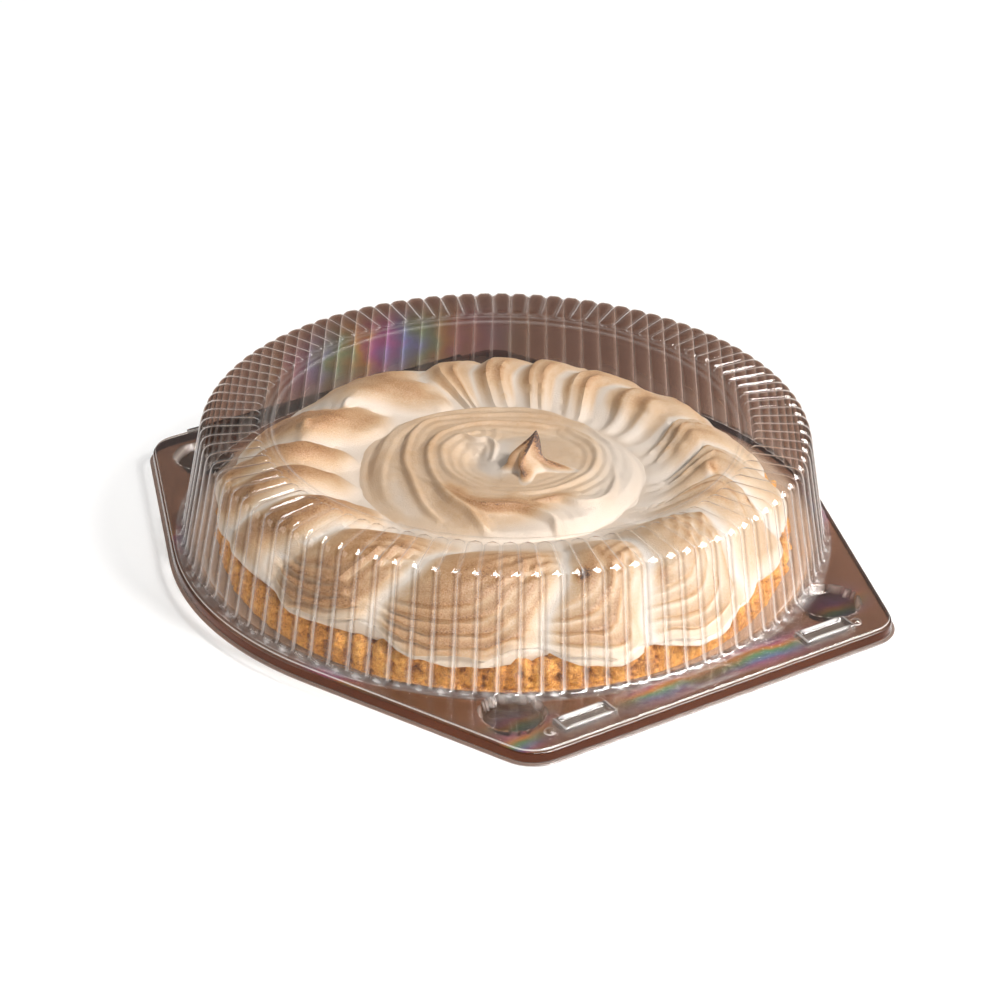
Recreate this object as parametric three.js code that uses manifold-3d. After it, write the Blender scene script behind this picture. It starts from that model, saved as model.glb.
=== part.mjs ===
// A lemon meringue pie in its clear hinged dish: a shallow tray and a fluted dome lid that turns on a
// crease along the tray's back edge. Millimetres, +Z up. The origin is on the pie's axis, in the plane
// of the tray's underside; the snap latches face -Y and the hinge is at the +Y edge.
import * as THREE from "three";
import { mergeVertices } from "three/addons/utils/BufferGeometryUtils.js";
import Module from "manifold-3d";

const wasm = await Module();
wasm.setup();

// Driving dimensions
const SHEET = 0.8; // thickness of the moulded plastic
const GAP = 0.3; // between pieces that rest on each other
const FOOT_R = 130; // the dome's wall at its foot
const TRAY_SIDE_R = 134.4; // the tray's round sides
const TRAY_FRONT_Y = -145.4;
const TRAY_BACK_Y = 138.4;
const TRAY_CORNER_R = 14;
const TRAY_SPLAY = THREE.MathUtils.degToRad(22.6); // lean of the straight edges beside the corners
const TRAY_TOP_Z = 9.4;
const SKIRT_Z = 4.4; // lower edge of the tray's skirt
const LIP = 1.6; // how far the lip under the skirt stands out
const WELL_TOP_R = 125;
const WELL_FLOOR_R = 119;
const LID_INSET = 0.8; // the lid's flange lies inside the tray's edge by this
// The crease between tray and lid: a bead along the back edge, on a thin web
const HINGE = {
  halfLength: 70, beadR: 0.9, webWidth: 1.2, webHeight: 0.6,
  y: TRAY_BACK_Y + 0.8, z: TRAY_TOP_Z + GAP / 2,
};

const FLUTES = 98;
const FLUTE_DEPTH = 1.5;
const RING_TOP_Z = 58.4; // the dome's fluted shoulder
const SHOULDER_R = 121.5;
const SHOULDER_DROP = 3.2; // height lost over the rounded shoulder
const SHOULDER_WIDTH = 5;
const FLUTE_END_R = 97;
const PANEL_R = 93; // the sunk round panel in the dome's top
const PANEL_DEPTH = 2.4;

const POCKET = { r: 12.5, away: 138.5, angle: THREE.MathUtils.degToRad(57.5), depth: 3.6 };
const LATCH = { x: 56, y: -136.4, length: 24, width: 8.4, height: 3.2, postInset: 3.6, postHeight: 1.9 };
const TAB = { y: -137.6, length: 23, width: 8, height: 0.9 };

const PIE_TURN = THREE.MathUtils.degToRad(-34.4); // the pie's place round its axis
const CRUST_R = 114.4;
const CRUST_TOP_Z = 17.4;
const CRUST_THICKNESS = 4;
const CRIMPS = 64;
const CRIMP_DEPTH = 1.2; // how far the crimps stand in and out
const CRIMP_RISE = 0.7; // and up and down
const FILLING_R = 105.2;
const FILLING_TOP_Z = 14.7;
const MERINGUE_R = 112;
const CREST_R = 86;
const CREST_Z = 45;
const SWIRL_R = 52;
const SWIRL_Z = 37.5;
const SWIRL_PITCH = 24; // the swirl's ridge winds out once in every pitch
const PEAK_Z = 52.4; // the pulled peak in the middle of the swirl
const PEAK_BASE_R = 10;
const PEAK_TIP_R = 0.9;
// Where one piped shell ends and the next starts, in degrees round the pie
const SHELL_EDGES = [-168, -142, -116, -82, -61.5, -34, -8, 16, 43, 67, 87, 106, 125, 148, 171];
const STEPS_PER_SHELL = 6;

const OVERLAP = 0.2; // depth by which joined shapes reach into each other
const CURVE_SEGMENTS = 5;
const WELL_SEGMENTS = 42;
const LID_SEGMENTS = 49;
const POCKET_SEGMENTS = 16;
const FILLING_SEGMENTS = 48;
const BEAD_SEGMENTS = 12;
const PEAK_SEGMENTS = 10;

const TURN = 2 * Math.PI;
const lerp = THREE.MathUtils.lerp;
const smoothstep = THREE.MathUtils.smoothstep;

// ---------------------------------------------------------------- solids and booleans

function toSolid(geometry) {
  const bare = geometry.clone();
  bare.deleteAttribute("normal");
  bare.deleteAttribute("uv");
  const merged = mergeVertices(bare, 1e-4);
  return new wasm.Manifold(
    new wasm.Mesh({
      numProp: 3,
      vertProperties: merged.getAttribute("position").array,
      triVerts: new Uint32Array(merged.index.array),
    }),
  );
}

function toGeometry(solid) {
  const mesh = solid.getMesh();
  return new THREE.BufferGeometry()
    .setAttribute("position", new THREE.BufferAttribute(mesh.vertProperties, 3))
    .setIndex(new THREE.BufferAttribute(mesh.triVerts, 1));
}

// A closed solid through rings of equally many points, from the top centre out, down and back to the
// axis underneath; the first and last rings are closed by a fan about their centres.
function loft(rings) {
  const count = rings[0].length;
  const points = rings.flat();
  const centre = (ring) => ring.reduce((sum, p) => sum.add(p), new THREE.Vector3()).divideScalar(count);
  const top = points.push(centre(rings[0])) - 1;
  const bottom = points.push(centre(rings[rings.length - 1])) - 1;
  const last = (rings.length - 1) * count;
  const index = [];
  for (let i = 0; i < count; i++) {
    const next = (i + 1) % count;
    index.push(top, i, next);
    for (let row = 0; row < last; row += count)
      index.push(row + i, row + count + i, row + next, row + next, row + count + i, row + count + next);
    index.push(bottom, last + next, last + i);
  }
  return new THREE.BufferGeometry().setFromPoints(points).setIndex(index);
}

// A ring of points, one at each angle; place(angle, number) gives its radius and height.
const ringOf = (angles, place) =>
  angles.map((angle, i) => {
    const [r, z] = place(angle, i);
    return new THREE.Vector3(r * Math.cos(angle), r * Math.sin(angle), z);
  });

const evenAngles = (count) => Array.from({ length: count }, (_, i) => (TURN * i) / count);

// A solid of revolution about +Z from [radius, z] pairs that start and end on the axis, bottom first.
function lathe(profile, segments) {
  const points = profile.map(([r, z]) => new THREE.Vector2(r, z));
  return new THREE.LatheGeometry(points, segments).rotateX(Math.PI / 2);
}

const disc = (r, lowZ, highZ, segments) =>
  lathe([[0, lowZ], [r, lowZ], [r, highZ], [0, highZ]], segments);

function extrude(shape, lowZ, highZ) {
  const settings = { depth: highZ - lowZ, bevelEnabled: false, curveSegments: CURVE_SEGMENTS };
  return new THREE.ExtrudeGeometry(shape, settings).translate(0, 0, lowZ);
}

function block(width, depth, height, x, y, lowZ) {
  return new THREE.BoxGeometry(width, depth, height).translate(x, y, lowZ + height / 2);
}

const join = (first, ...others) =>
  others.reduce((sum, g) => sum.add(toSolid(g)), toSolid(first));

const cut = (solid, ...others) =>
  others.reduce((left, g) => left.subtract(toSolid(g)), solid);

// ---------------------------------------------------------------- the dish's outline

// Round sides, straight splayed edges beside the corners, and straight front and back edges. inset
// moves every edge inwards.
function dishOutline(inset) {
  const side = TRAY_SIDE_R - inset;
  const corner = TRAY_CORNER_R - inset;
  const cornerX = (y) => (side - corner - Math.sin(TRAY_SPLAY) * Math.abs(y)) / Math.cos(TRAY_SPLAY);
  const front = TRAY_FRONT_Y + inset + corner;
  const back = TRAY_BACK_Y - inset - corner;
  const shape = new THREE.Shape();
  shape.absarc(0, 0, side, -TRAY_SPLAY, TRAY_SPLAY);
  shape.absarc(cornerX(back), back, corner, TRAY_SPLAY, Math.PI / 2);
  shape.absarc(-cornerX(back), back, corner, Math.PI / 2, Math.PI - TRAY_SPLAY);
  shape.absarc(0, 0, side, Math.PI - TRAY_SPLAY, Math.PI + TRAY_SPLAY);
  shape.absarc(-cornerX(front), front, corner, Math.PI + TRAY_SPLAY, 1.5 * Math.PI);
  shape.absarc(cornerX(front), front, corner, 1.5 * Math.PI, TURN - TRAY_SPLAY);
  return shape;
}

function pocketCentres() {
  const x = POCKET.away * Math.cos(POCKET.angle);
  const y = POCKET.away * Math.sin(POCKET.angle);
  return [[x, y], [-x, y], [x, -y], [-x, -y]];
}

// ---------------------------------------------------------------- the tray

// The round well, from its floor to a little above the flange.
function wellSolid(grow, floorZ, topZ) {
  const slope = (WELL_TOP_R - WELL_FLOOR_R) / (TRAY_TOP_Z - floorZ);
  const topR = WELL_FLOOR_R + grow + slope * (topZ - floorZ);
  return lathe([[0, floorZ], [WELL_FLOOR_R + grow, floorZ], [topR, topZ], [0, topZ]], WELL_SEGMENTS);
}

function baseTray() {
  const skirt = extrude(dishOutline(0), SKIRT_Z, TRAY_TOP_Z);
  const lip = extrude(dishOutline(-LIP), SKIRT_Z, SKIRT_Z + SHEET);
  const underside = extrude(dishOutline(SHEET), SKIRT_Z - 1, TRAY_TOP_Z - SHEET);
  const pocketFloorZ = TRAY_TOP_Z - POCKET.depth;
  const pocketsAt = (r, lowZ, highZ) =>
    pocketCentres().map(([x, y]) => disc(r, lowZ, highZ, POCKET_SEGMENTS).translate(x, y, 0));
  const shell = cut(join(skirt, lip), underside);
  const filled = shell.add(
    join(wellSolid(SHEET, 0, TRAY_TOP_Z), ...pocketsAt(POCKET.r, pocketFloorZ - SHEET, TRAY_TOP_Z)),
  );
  const hollowed = cut(
    filled,
    ...pocketsAt(POCKET.r - SHEET, pocketFloorZ, TRAY_TOP_Z + 1),
    wellSolid(0, SHEET, TRAY_TOP_Z + 1),
  );
  return toGeometry(hollowed.add(latchPosts()).add(hingeBead()));
}

const bothSides = (make) => [make(1), make(-1)];

// The posts that the lid's hollow latches snap over.
function latchPosts() {
  const [right, left] = bothSides((side) =>
    block(
      LATCH.length - LATCH.postInset, LATCH.width - LATCH.postInset, LATCH.postHeight + OVERLAP,
      side * LATCH.x, LATCH.y, TRAY_TOP_Z - OVERLAP,
    ),
  );
  return join(right, left);
}

// The crease that the lid turns on; its web reaches in from the tray's back edge.
function hingeBead() {
  const length = 2 * HINGE.halfLength;
  const bead = new THREE.CylinderGeometry(HINGE.beadR, HINGE.beadR, length, BEAD_SEGMENTS)
    .rotateZ(Math.PI / 2)
    .translate(0, HINGE.y, HINGE.z);
  const webLowZ = TRAY_TOP_Z - HINGE.webHeight - 0.1;
  const web = block(length, HINGE.webWidth, HINGE.webHeight, 0, TRAY_BACK_Y, webLowZ);
  return join(bead, web);
}

// ---------------------------------------------------------------- the lid

const LID_LOW_Z = TRAY_TOP_Z + GAP;
const LID_FLANGE_Z = LID_LOW_Z + SHEET;

// The dome as a solid. Every other line of points up its wall lies in a groove between two flutes.
function domeOutside() {
  // radius, height, and the shares of the flute depth taken off the radius and off the height
  const rows = [
    [FLUTE_END_R, RING_TOP_Z, 0, 0],
    [SHOULDER_R - SHOULDER_WIDTH, RING_TOP_Z, 0, 0.7],
    [SHOULDER_R, RING_TOP_Z - SHOULDER_DROP, 1, 0],
    [FOOT_R - 0.4, LID_FLANGE_Z + 2, 1, 0],
    [FOOT_R + 1.6, LID_FLANGE_Z - OVERLAP, 0, 0],
  ];
  const angles = evenAngles(2 * FLUTES);
  return loft(
    rows.map(([r, z, inward, down]) =>
      ringOf(angles, (_, i) => {
        const depth = (i % 2) * FLUTE_DEPTH;
        return [r - inward * depth, z - down * depth];
      }),
    ),
  );
}

function domeInside() {
  const wall = FLUTE_DEPTH + SHEET;
  return lathe(
    [
      [0, LID_LOW_Z - 1],
      [FOOT_R - wall, LID_LOW_Z - 1],
      [FOOT_R - wall, LID_FLANGE_Z],
      [SHOULDER_R - wall, RING_TOP_Z - SHOULDER_DROP - 2],
      [SHOULDER_R - SHOULDER_WIDTH, RING_TOP_Z - wall],
      [PANEL_R + 3, RING_TOP_Z - wall],
      [PANEL_R, RING_TOP_Z - PANEL_DEPTH - SHEET],
      [0, RING_TOP_Z - PANEL_DEPTH - SHEET],
    ],
    LID_SEGMENTS,
  );
}

function domeLid() {
  const panel = lathe(
    [
      [0, RING_TOP_Z - PANEL_DEPTH],
      [PANEL_R - 0.7, RING_TOP_Z - PANEL_DEPTH],
      [PANEL_R + 1, RING_TOP_Z + 1],
      [0, RING_TOP_Z + 1],
    ],
    LID_SEGMENTS,
  );
  const flange = extrude(dishOutline(LID_INSET), LID_LOW_Z, LID_FLANGE_Z);
  const latches = bothSides((side) =>
    block(LATCH.length, LATCH.width, LATCH.height, side * LATCH.x, LATCH.y, LID_LOW_Z),
  );
  const latchHollows = bothSides((side) =>
    block(
      LATCH.length - 2 * SHEET, LATCH.width - 2 * SHEET, LATCH.height,
      side * LATCH.x, LATCH.y, LID_LOW_Z - SHEET,
    ),
  );
  const full = join(domeOutside(), flange, ...latches, openingTab());
  return toGeometry(cut(full, domeInside(), panel, ...latchHollows));
}

// The raised oval pad at the middle of the front edge, by which the lid is lifted.
function openingTab() {
  const half = (TAB.length - TAB.width) / 2;
  const shape = new THREE.Shape();
  shape.absarc(half, TAB.y, TAB.width / 2, -Math.PI / 2, Math.PI / 2);
  shape.absarc(-half, TAB.y, TAB.width / 2, Math.PI / 2, 1.5 * Math.PI);
  return extrude(shape, LID_FLANGE_Z - OVERLAP, LID_FLANGE_Z + TAB.height);
}

// ---------------------------------------------------------------- the pie

// A pressed pastry case with an upright, finger-crimped rim; it is open where the filling lies.
function crust() {
  const angles = evenAngles(2 * CRIMPS);
  const bottomZ = SHEET + GAP;
  const rows = [
    [FILLING_R - 1.4, bottomZ + CRUST_THICKNESS, 0],
    [FILLING_R + 0.7, FILLING_TOP_Z + 0.2, 0],
    [CRUST_R - 5.4, CRUST_TOP_Z - 0.9, 0.4],
    [CRUST_R - 1.6, CRUST_TOP_Z, 0.8],
    [CRUST_R, CRUST_TOP_Z - 3, 1],
    [CRUST_R - 3, bottomZ, 0],
  ];
  const rings = rows.map(([r, z, share]) =>
    ringOf(angles, (angle, i) => {
      const uneven = 0.6 * Math.sin(5 * angle + 1) + 0.4 * Math.sin(13 * angle);
      const crimp = share * (i % 2 ? -1 : 1) * (1 + 0.35 * uneven);
      return [r + crimp * CRIMP_DEPTH, z + crimp * CRIMP_RISE];
    }),
  );
  return loft(rings);
}

function lemonFilling() {
  const lowZ = SHEET + GAP + CRUST_THICKNESS + GAP;
  return lathe(
    [[0, lowZ], [FILLING_R - 1.8, lowZ], [FILLING_R, FILLING_TOP_Z], [0, FILLING_TOP_Z]],
    FILLING_SEGMENTS,
  );
}

// Angles round the pie, STEPS_PER_SHELL in each shell: the first falls in the valley before the shell.
function shellAngles() {
  return SHELL_EDGES.flatMap((edge, i) => {
    const next = i + 1 < SHELL_EDGES.length ? SHELL_EDGES[i + 1] : SHELL_EDGES[0] + 360;
    return Array.from({ length: STEPS_PER_SHELL }, (_, k) =>
      PIE_TURN + THREE.MathUtils.degToRad(lerp(edge, next, k / STEPS_PER_SHELL)),
    );
  });
}

// 0 in the valley between two shells, 1 on a shell's back.
const shellRise = (step) => Math.sqrt(Math.sin((Math.PI * step) / STEPS_PER_SHELL));

// Ridges left by the star nozzle: every other step is a groove.
const ridge = (step) => (step % 2 ? 1 : -0.4);

function meringue() {
  const angles = shellAngles();
  // radius, height, drop in height and in radius in the valleys, and the ridges' share
  const ringRows = [
    [SWIRL_R + 6, 33, 0, 0, 0],
    [SWIRL_R + 14, 36.5, 1.5, 1, 0.6],
    [CREST_R - 9, 42.5, 3.5, 1, 1],
    [CREST_R, CREST_Z, 4.5, 2, 1],
    [CREST_R + 11, 43, 5.5, 4, 1],
    [MERINGUE_R - 6, 37, 6, 6, 0.8],
    [MERINGUE_R - 1, 29.5, 2, 6.5, 0.6],
    [MERINGUE_R, 23.5, 0, 5.5, 0.3],
    [MERINGUE_R - 1.2, 19.4, 0, 4, 0],
  ];
  const swirl = [10, 20, 30, 40, SWIRL_R - 3].map((r) =>
    ringOf(angles, (angle) => [r, swirlHeight(r, angle - PIE_TURN)]),
  );
  const ring = ringRows.map(([r, z, dropZ, dropR, ridges]) =>
    ringOf(angles, (_, i) => {
      const step = i % STEPS_PER_SHELL;
      const valley = 1 - shellRise(step);
      return [r - valley * dropR, z - valley * dropZ + ridges * ridge(step)];
    }),
  );
  const underside = ringOf(angles, () => [FILLING_R - 1.4, FILLING_TOP_Z + GAP]);
  return toGeometry(join(loft([...swirl, ...ring, underside]), curlTip()));
}

// The spiral that the nozzle left in the middle.
function swirlHeight(r, angle) {
  const winding = Math.cos((TURN * r) / SWIRL_PITCH + angle);
  const fade = smoothstep(r, 6, 18) * (1 - smoothstep(r, 44, SWIRL_R));
  return SWIRL_Z + 1.6 * winding * fade - 3 * smoothstep(r, 40, SWIRL_R + 4);
}

// The pulled peak in the middle of the swirl: rings of shrinking radius along a bent line.
function curlTip() {
  const base = new THREE.Vector3(5, -10, SWIRL_Z - 3);
  const control = new THREE.Vector3(5, -7, 49);
  const tip = new THREE.Vector3(13, 1, PEAK_Z);
  const line = new THREE.QuadraticBezierCurve3(base, control, tip);
  const rings = [1, 0.8, 0.6, 0.4, 0.2, 0].map((t) => {
    const centre = line.getPoint(t);
    const r = lerp(PEAK_BASE_R, PEAK_TIP_R, Math.pow(t, 0.7));
    const round = (angle) => new THREE.Vector3(r * Math.cos(angle), 0.8 * r * Math.sin(angle), 0);
    return evenAngles(PEAK_SEGMENTS).map((angle) => round(angle).add(centre));
  });
  return loft(rings).rotateZ(PIE_TURN);
}

// ---------------------------------------------------------------- materials and the whole

const finish = (color, roughness, extra = {}) =>
  new THREE.MeshStandardMaterial({ color, roughness, metalness: 0, ...extra });
const clearPlastic = (color) => finish(color, 0.08, { transparent: true, opacity: 0.35 });

function piece(name, geometry, material) {
  const mesh = new THREE.Mesh(geometry, material);
  mesh.name = name;
  return mesh;
}

const pie = new THREE.Group();
pie.add(
  piece("crust", crust(), finish(0xc98a42, 0.85)),
  piece("lemon_filling", lemonFilling(), finish(0xd9b23c, 0.35)),
  piece("meringue", meringue(), finish(0xf3e3c8, 0.7)),
);

const dish = new THREE.Group();
dish.add(
  piece("base_tray", baseTray(), clearPlastic(0xb8a498)),
  piece("dome_lid", domeLid(), clearPlastic(0xd8cfc8)),
);

const whole = new THREE.Group();
whole.add(dish, pie);

export default whole;
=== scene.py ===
"""Looks of a lemon meringue pie in its clear hinged dish: meringue, pastry, curd, tray and dome lid."""
import math

import bpy
import numpy as np
from mathutils import Matrix, Vector, noise


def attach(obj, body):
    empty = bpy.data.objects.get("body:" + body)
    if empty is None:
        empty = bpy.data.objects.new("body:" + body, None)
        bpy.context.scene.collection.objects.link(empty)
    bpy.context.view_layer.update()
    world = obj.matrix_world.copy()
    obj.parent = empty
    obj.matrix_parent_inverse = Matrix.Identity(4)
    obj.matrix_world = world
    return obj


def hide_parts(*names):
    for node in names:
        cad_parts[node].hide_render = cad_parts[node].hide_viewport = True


bl_info = {
    "name": "Lemon meringue pie",
    "version": (1, 0, 0),
    "blender": (4, 5, 0),
    "location": "View3D > Sidebar > Pie",
    "description": "Builds the looks of a lemon meringue pie in its clear hinged dish",
    "category": "Object",
}

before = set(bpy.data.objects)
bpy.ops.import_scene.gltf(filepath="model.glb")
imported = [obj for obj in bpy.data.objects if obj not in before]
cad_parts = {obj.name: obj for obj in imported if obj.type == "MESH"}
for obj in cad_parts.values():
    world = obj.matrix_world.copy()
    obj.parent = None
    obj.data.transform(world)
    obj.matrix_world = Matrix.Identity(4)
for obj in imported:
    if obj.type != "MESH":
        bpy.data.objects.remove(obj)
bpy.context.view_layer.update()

MM = 0.001
TURN = 2 * math.pi
MERGE = 0.002  # vertices closer than this, in millimetres, become one

# The food's own directions: its X axis stands turned by this about the dish's axis. All of the
# food's shapes are written in these directions, in millimetres and degrees.
PIE_TURN = math.radians(-34.4)


# ---------------------------------------------------------------- numbers and curves

def smoothstep(low, high, x):
    t = np.clip((x - low) / (high - low), 0.0, 1.0)
    return t * t * (3 - 2 * t)


def mix(a, b, t):
    return a + (b - a) * t


def bump(x, centre, width):
    """A smooth hill of height 1 at centre."""
    return np.exp(-(((x - centre) / width) ** 2))


def around(degrees, centre):
    """Degrees from centre to each direction, the short way round: -180 to 180."""
    return (degrees - centre + 180) % 360 - 180


def distances_along(line):
    return np.concatenate([[0], np.cumsum(np.linalg.norm(np.diff(line, axis=0), axis=1))])


def curve_through(points, count):
    """count points on a smooth curve through the given ones (Catmull-Rom), evenly spread."""
    p = np.array(points, float)
    p = np.vstack([2 * p[0] - p[1], p, 2 * p[-1] - p[-2]])
    t = np.linspace(0, len(points) - 1, 12 * len(points))
    i = np.minimum(t.astype(int), len(points) - 2)
    f = (t - i)[:, None]
    a, b, c, d = p[i], p[i + 1], p[i + 2], p[i + 3]
    line = 0.5 * (2 * b + (c - a) * f + (2 * a - 5 * b + 4 * c - d) * f**2 + (3 * b - a - 3 * c + d) * f**3)
    along = distances_along(line[:, :2])
    even = np.linspace(0, along[-1], count)
    return np.stack([np.interp(even, along, column) for column in line.T], 1)


def round_table(table, degrees):
    """Reads a table of (degrees, value) that closes on itself after a full turn."""
    a, v = np.array(sorted(table), float).T
    a = np.concatenate([a - 360, a, a + 360])
    return np.interp(degrees, a, np.concatenate([v, v, v]))


def unevenness(points, size, seed, octaves=2):
    """Smooth random values of about -1 to 1 at points; size is the lumps' size in millimetres."""
    offset = Vector((seed, 7.3 * seed, -3.1 * seed))
    return np.array([noise.fractal(Vector(p) / size + offset, 1.0, 2.0, octaves) for p in points])


def round_points(r, azimuth, z):
    return np.stack([r * np.cos(azimuth), r * np.sin(azimuth), z], 1)


def pie_to_dish(points):
    """Points in the food's own directions, given in the dish's."""
    c, s = math.cos(PIE_TURN), math.sin(PIE_TURN)
    x, y, z = points.T
    return np.stack([c * x - s * y, s * x + c * y, z], 1)


# ---------------------------------------------------------------- meshes

UNIT = 1000  # size in millimetres of the primitives that are wrapped round the axis


def deselect_all():
    bpy.ops.object.select_all(action="DESELECT")


def make_active(piece):
    deselect_all()
    piece.select_set(True)
    bpy.context.view_layer.objects.active = piece


def edit(select_everything=True):
    """Opens the active piece for editing."""
    bpy.ops.object.mode_set(mode="EDIT")
    if select_everything:
        bpy.ops.mesh.select_all(action="SELECT")


def leave_editing():
    bpy.ops.object.mode_set(mode="OBJECT")


def new_piece(name, add, **sizes):
    """The piece that the operator add starts from its primitive."""
    deselect_all()
    add(**sizes)
    piece = bpy.context.object
    piece.name = piece.data.name = name
    return piece


def copied(piece, name, shift):
    """A copy of the piece with its own mesh, shift millimetres further along X."""
    make_active(piece)
    bpy.ops.object.duplicate()
    copy = bpy.context.object
    copy.name = copy.data.name = name
    edit()
    bpy.ops.transform.translate(value=(shift * MM, 0, 0))
    leave_editing()
    return copy


def vertices_of(piece):
    """The piece's vertices in millimetres."""
    flat = np.empty(3 * len(piece.data.vertices))
    piece.data.vertices.foreach_get("co", flat)
    return flat.reshape(-1, 3) / MM


def move_vertices(piece, points):
    piece.data.vertices.foreach_set("co", (points * MM).ravel())
    piece.data.update()


def wrapped_grid(name, columns, rows):
    """A grid primitive to be wrapped round the axis, and each vertex's azimuth and its share of the way
    from the first row to the last. Its first and last columns meet, and merge when it is closed."""
    add = bpy.ops.mesh.primitive_grid_add
    piece = new_piece(name, add, x_subdivisions=columns, y_subdivisions=rows, size=2 * UNIT * MM)
    unit = vertices_of(piece) / (2 * UNIT) + 0.5
    return piece, TURN * unit[:, 0], unit[:, 1]


def ring_grid(name, columns, rows):
    """A torus primitive, and each vertex's azimuth and its share of the way round the section: 0 at the
    outer side, a quarter on top, a half at the inner side."""
    piece = new_piece(
        name, bpy.ops.mesh.primitive_torus_add, major_segments=columns, minor_segments=rows,
        major_radius=UNIT * MM, minor_radius=0.4 * UNIT * MM,
    )
    x, y, z = vertices_of(piece).T / UNIT
    return piece, np.arctan2(y, x), np.arctan2(z, np.hypot(x, y) - 1) / TURN % 1.0


def paint(piece, name, values):
    """A number at each vertex, that the materials read by name."""
    layer = piece.data.attributes.new(name, "FLOAT", "POINT")
    layer.data.foreach_set("value", np.clip(values, 0, 1).astype(np.float32))


def close_and_smooth(piece, angle=80):
    """Seams and poles merged, faces outwards, smooth shading except over edges sharper than angle."""
    make_active(piece)
    edit()
    bpy.ops.mesh.remove_doubles(threshold=MERGE * MM)
    bpy.ops.mesh.normals_make_consistent(inside=False)
    leave_editing()
    bpy.ops.object.shade_smooth_by_angle(angle=math.radians(angle))


def soften(piece, times):
    """Takes the sharpness off ridges that run askew to the mesh."""
    make_active(piece)
    edit()
    bpy.ops.mesh.vertices_smooth(factor=0.5, repeat=times)
    leave_editing()


def finish_piece(piece, body, material, slot, *nodes):
    piece.data.materials.clear()
    piece.data.materials.append(material)
    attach(piece, body)
    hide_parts(*nodes)


# ---------------------------------------------------------------- materials

class Graph:
    """Builds a node tree; a value given to a socket is a number, a colour or another node's output."""

    def __init__(self, tree):
        self.tree = tree

    def node(self, kind, inputs=(), **settings):
        node = self.tree.nodes.new("ShaderNode" + kind)
        for name, value in settings.items():
            setattr(node, name, value)
        for name, value in dict(inputs).items():
            self.feed(node.inputs[name], value)
        return node

    def feed(self, socket, value):
        if isinstance(value, bpy.types.NodeSocket):
            self.tree.links.new(value, socket)
        elif isinstance(value, (int, float)):
            socket.default_value = value
        else:
            socket.default_value = (*value, 1) if socket.type == "RGBA" else value

    def maths(self, operation, a, b=0.0, clamp=False):
        return self.node("Math", {0: a, 1: b}, operation=operation, use_clamp=clamp).outputs[0]

    def times(self, first, *others):
        for other in others:
            first = self.maths("MULTIPLY", first, other)
        return first

    def plus(self, first, *others, clamp=False):
        for other in others:
            first = self.maths("ADD", first, other, clamp and other is others[-1])
        return first

    def minus(self, a, b, clamp=False):
        return self.maths("SUBTRACT", a, b, clamp)

    def blend(self, kind, share, a, b):
        node = self.node("Mix", data_type="RGBA", blend_type=kind)
        for socket, value in zip((node.inputs[0], node.inputs[6], node.inputs[7]), (share, a, b)):
            self.feed(socket, value)
        return node.outputs[2]

    def layered(self, share, below, above):
        """A shader with the share of above laid over below."""
        return self.node("MixShader", {0: share, 1: below, 2: above}).outputs[0]

    def noise(self, size, detail, rough=0.5):
        """Noise with lumps of that size in millimetres."""
        inputs = {"Vector": self.place(), "Scale": 1 / (size * MM), "Detail": detail, "Roughness": rough}
        return self.node("TexNoise", inputs).outputs["Fac"]

    def ramp(self, share, stops):
        node = self.node("ValToRGB", {"Fac": share})
        elements = node.color_ramp.elements
        while len(elements) < len(stops):
            elements.new(0.5)
        for element, (position, colour) in zip(elements, stops):
            element.position = position
            element.color = (*colour, 1)
        return node.outputs["Color"]

    def place(self):
        return self.node("TexCoord").outputs["Object"]

    def painted(self, name):
        return self.node("Attribute", attribute_name=name).outputs["Fac"]


def new_material(name):
    """A material with an empty node tree: the material, its graph and its surface socket."""
    material = bpy.data.materials.new(name)
    material.use_nodes = True
    material.node_tree.nodes.clear()
    graph = Graph(material.node_tree)
    return material, graph, graph.node("OutputMaterial").inputs["Surface"]


def food_shader(graph, colour, height, strength, depth, rough, specular=0.5):
    """Food of that colour, with relief up to depth millimetres deep where height is 1."""
    relief = graph.node("Bump", {"Strength": strength, "Distance": depth * MM, "Height": height})
    return graph.node("BsdfPrincipled", {
        "Base Color": colour, "Normal": relief.outputs["Normal"],
        "Roughness": rough, "Specular IOR Level": specular,
    }).outputs["BSDF"]


BUBBLE_GAP = 2.2  # millimetres between pin-prick bubbles in the meringue


def meringue_material(settings):
    """Coloured by how far it is toasted, broken up by fine grain, patches and pin-prick bubbles."""
    material, graph, surface = new_material("Toasted meringue")
    toast = graph.painted("toast")
    grain = graph.noise(0.55, 2)
    patches = graph.noise(7, 3)
    cell = graph.node("TexVoronoi", {"Vector": graph.place(), "Scale": 1 / (BUBBLE_GAP * MM)})
    bubbles = graph.ramp(cell.outputs["Distance"], [(0.0, (1, 1, 1)), (0.16, (0, 0, 0))])
    fine_spread = graph.times(graph.minus(grain, 0.5), 0.65)
    wide_spread = graph.times(graph.minus(patches, 0.5), 0.35)
    broken = graph.times(graph.plus(fine_spread, wide_spread), graph.plus(graph.times(toast, 1.3), 0.05))
    colour = graph.ramp(graph.plus(toast, broken, graph.times(bubbles, toast, 0.25), clamp=True), [
        (0.0, settings.white), (0.27, settings.cream), (0.55, settings.tan),
        (0.82, settings.brown), (1.0, settings.burnt),
    ])
    height = graph.minus(graph.plus(grain, graph.times(patches, 0.6)), graph.times(bubbles, 0.5))
    graph.feed(surface, food_shader(graph, colour, height, 0.55, 0.6, rough=0.6, specular=0.3))
    return material


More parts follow.
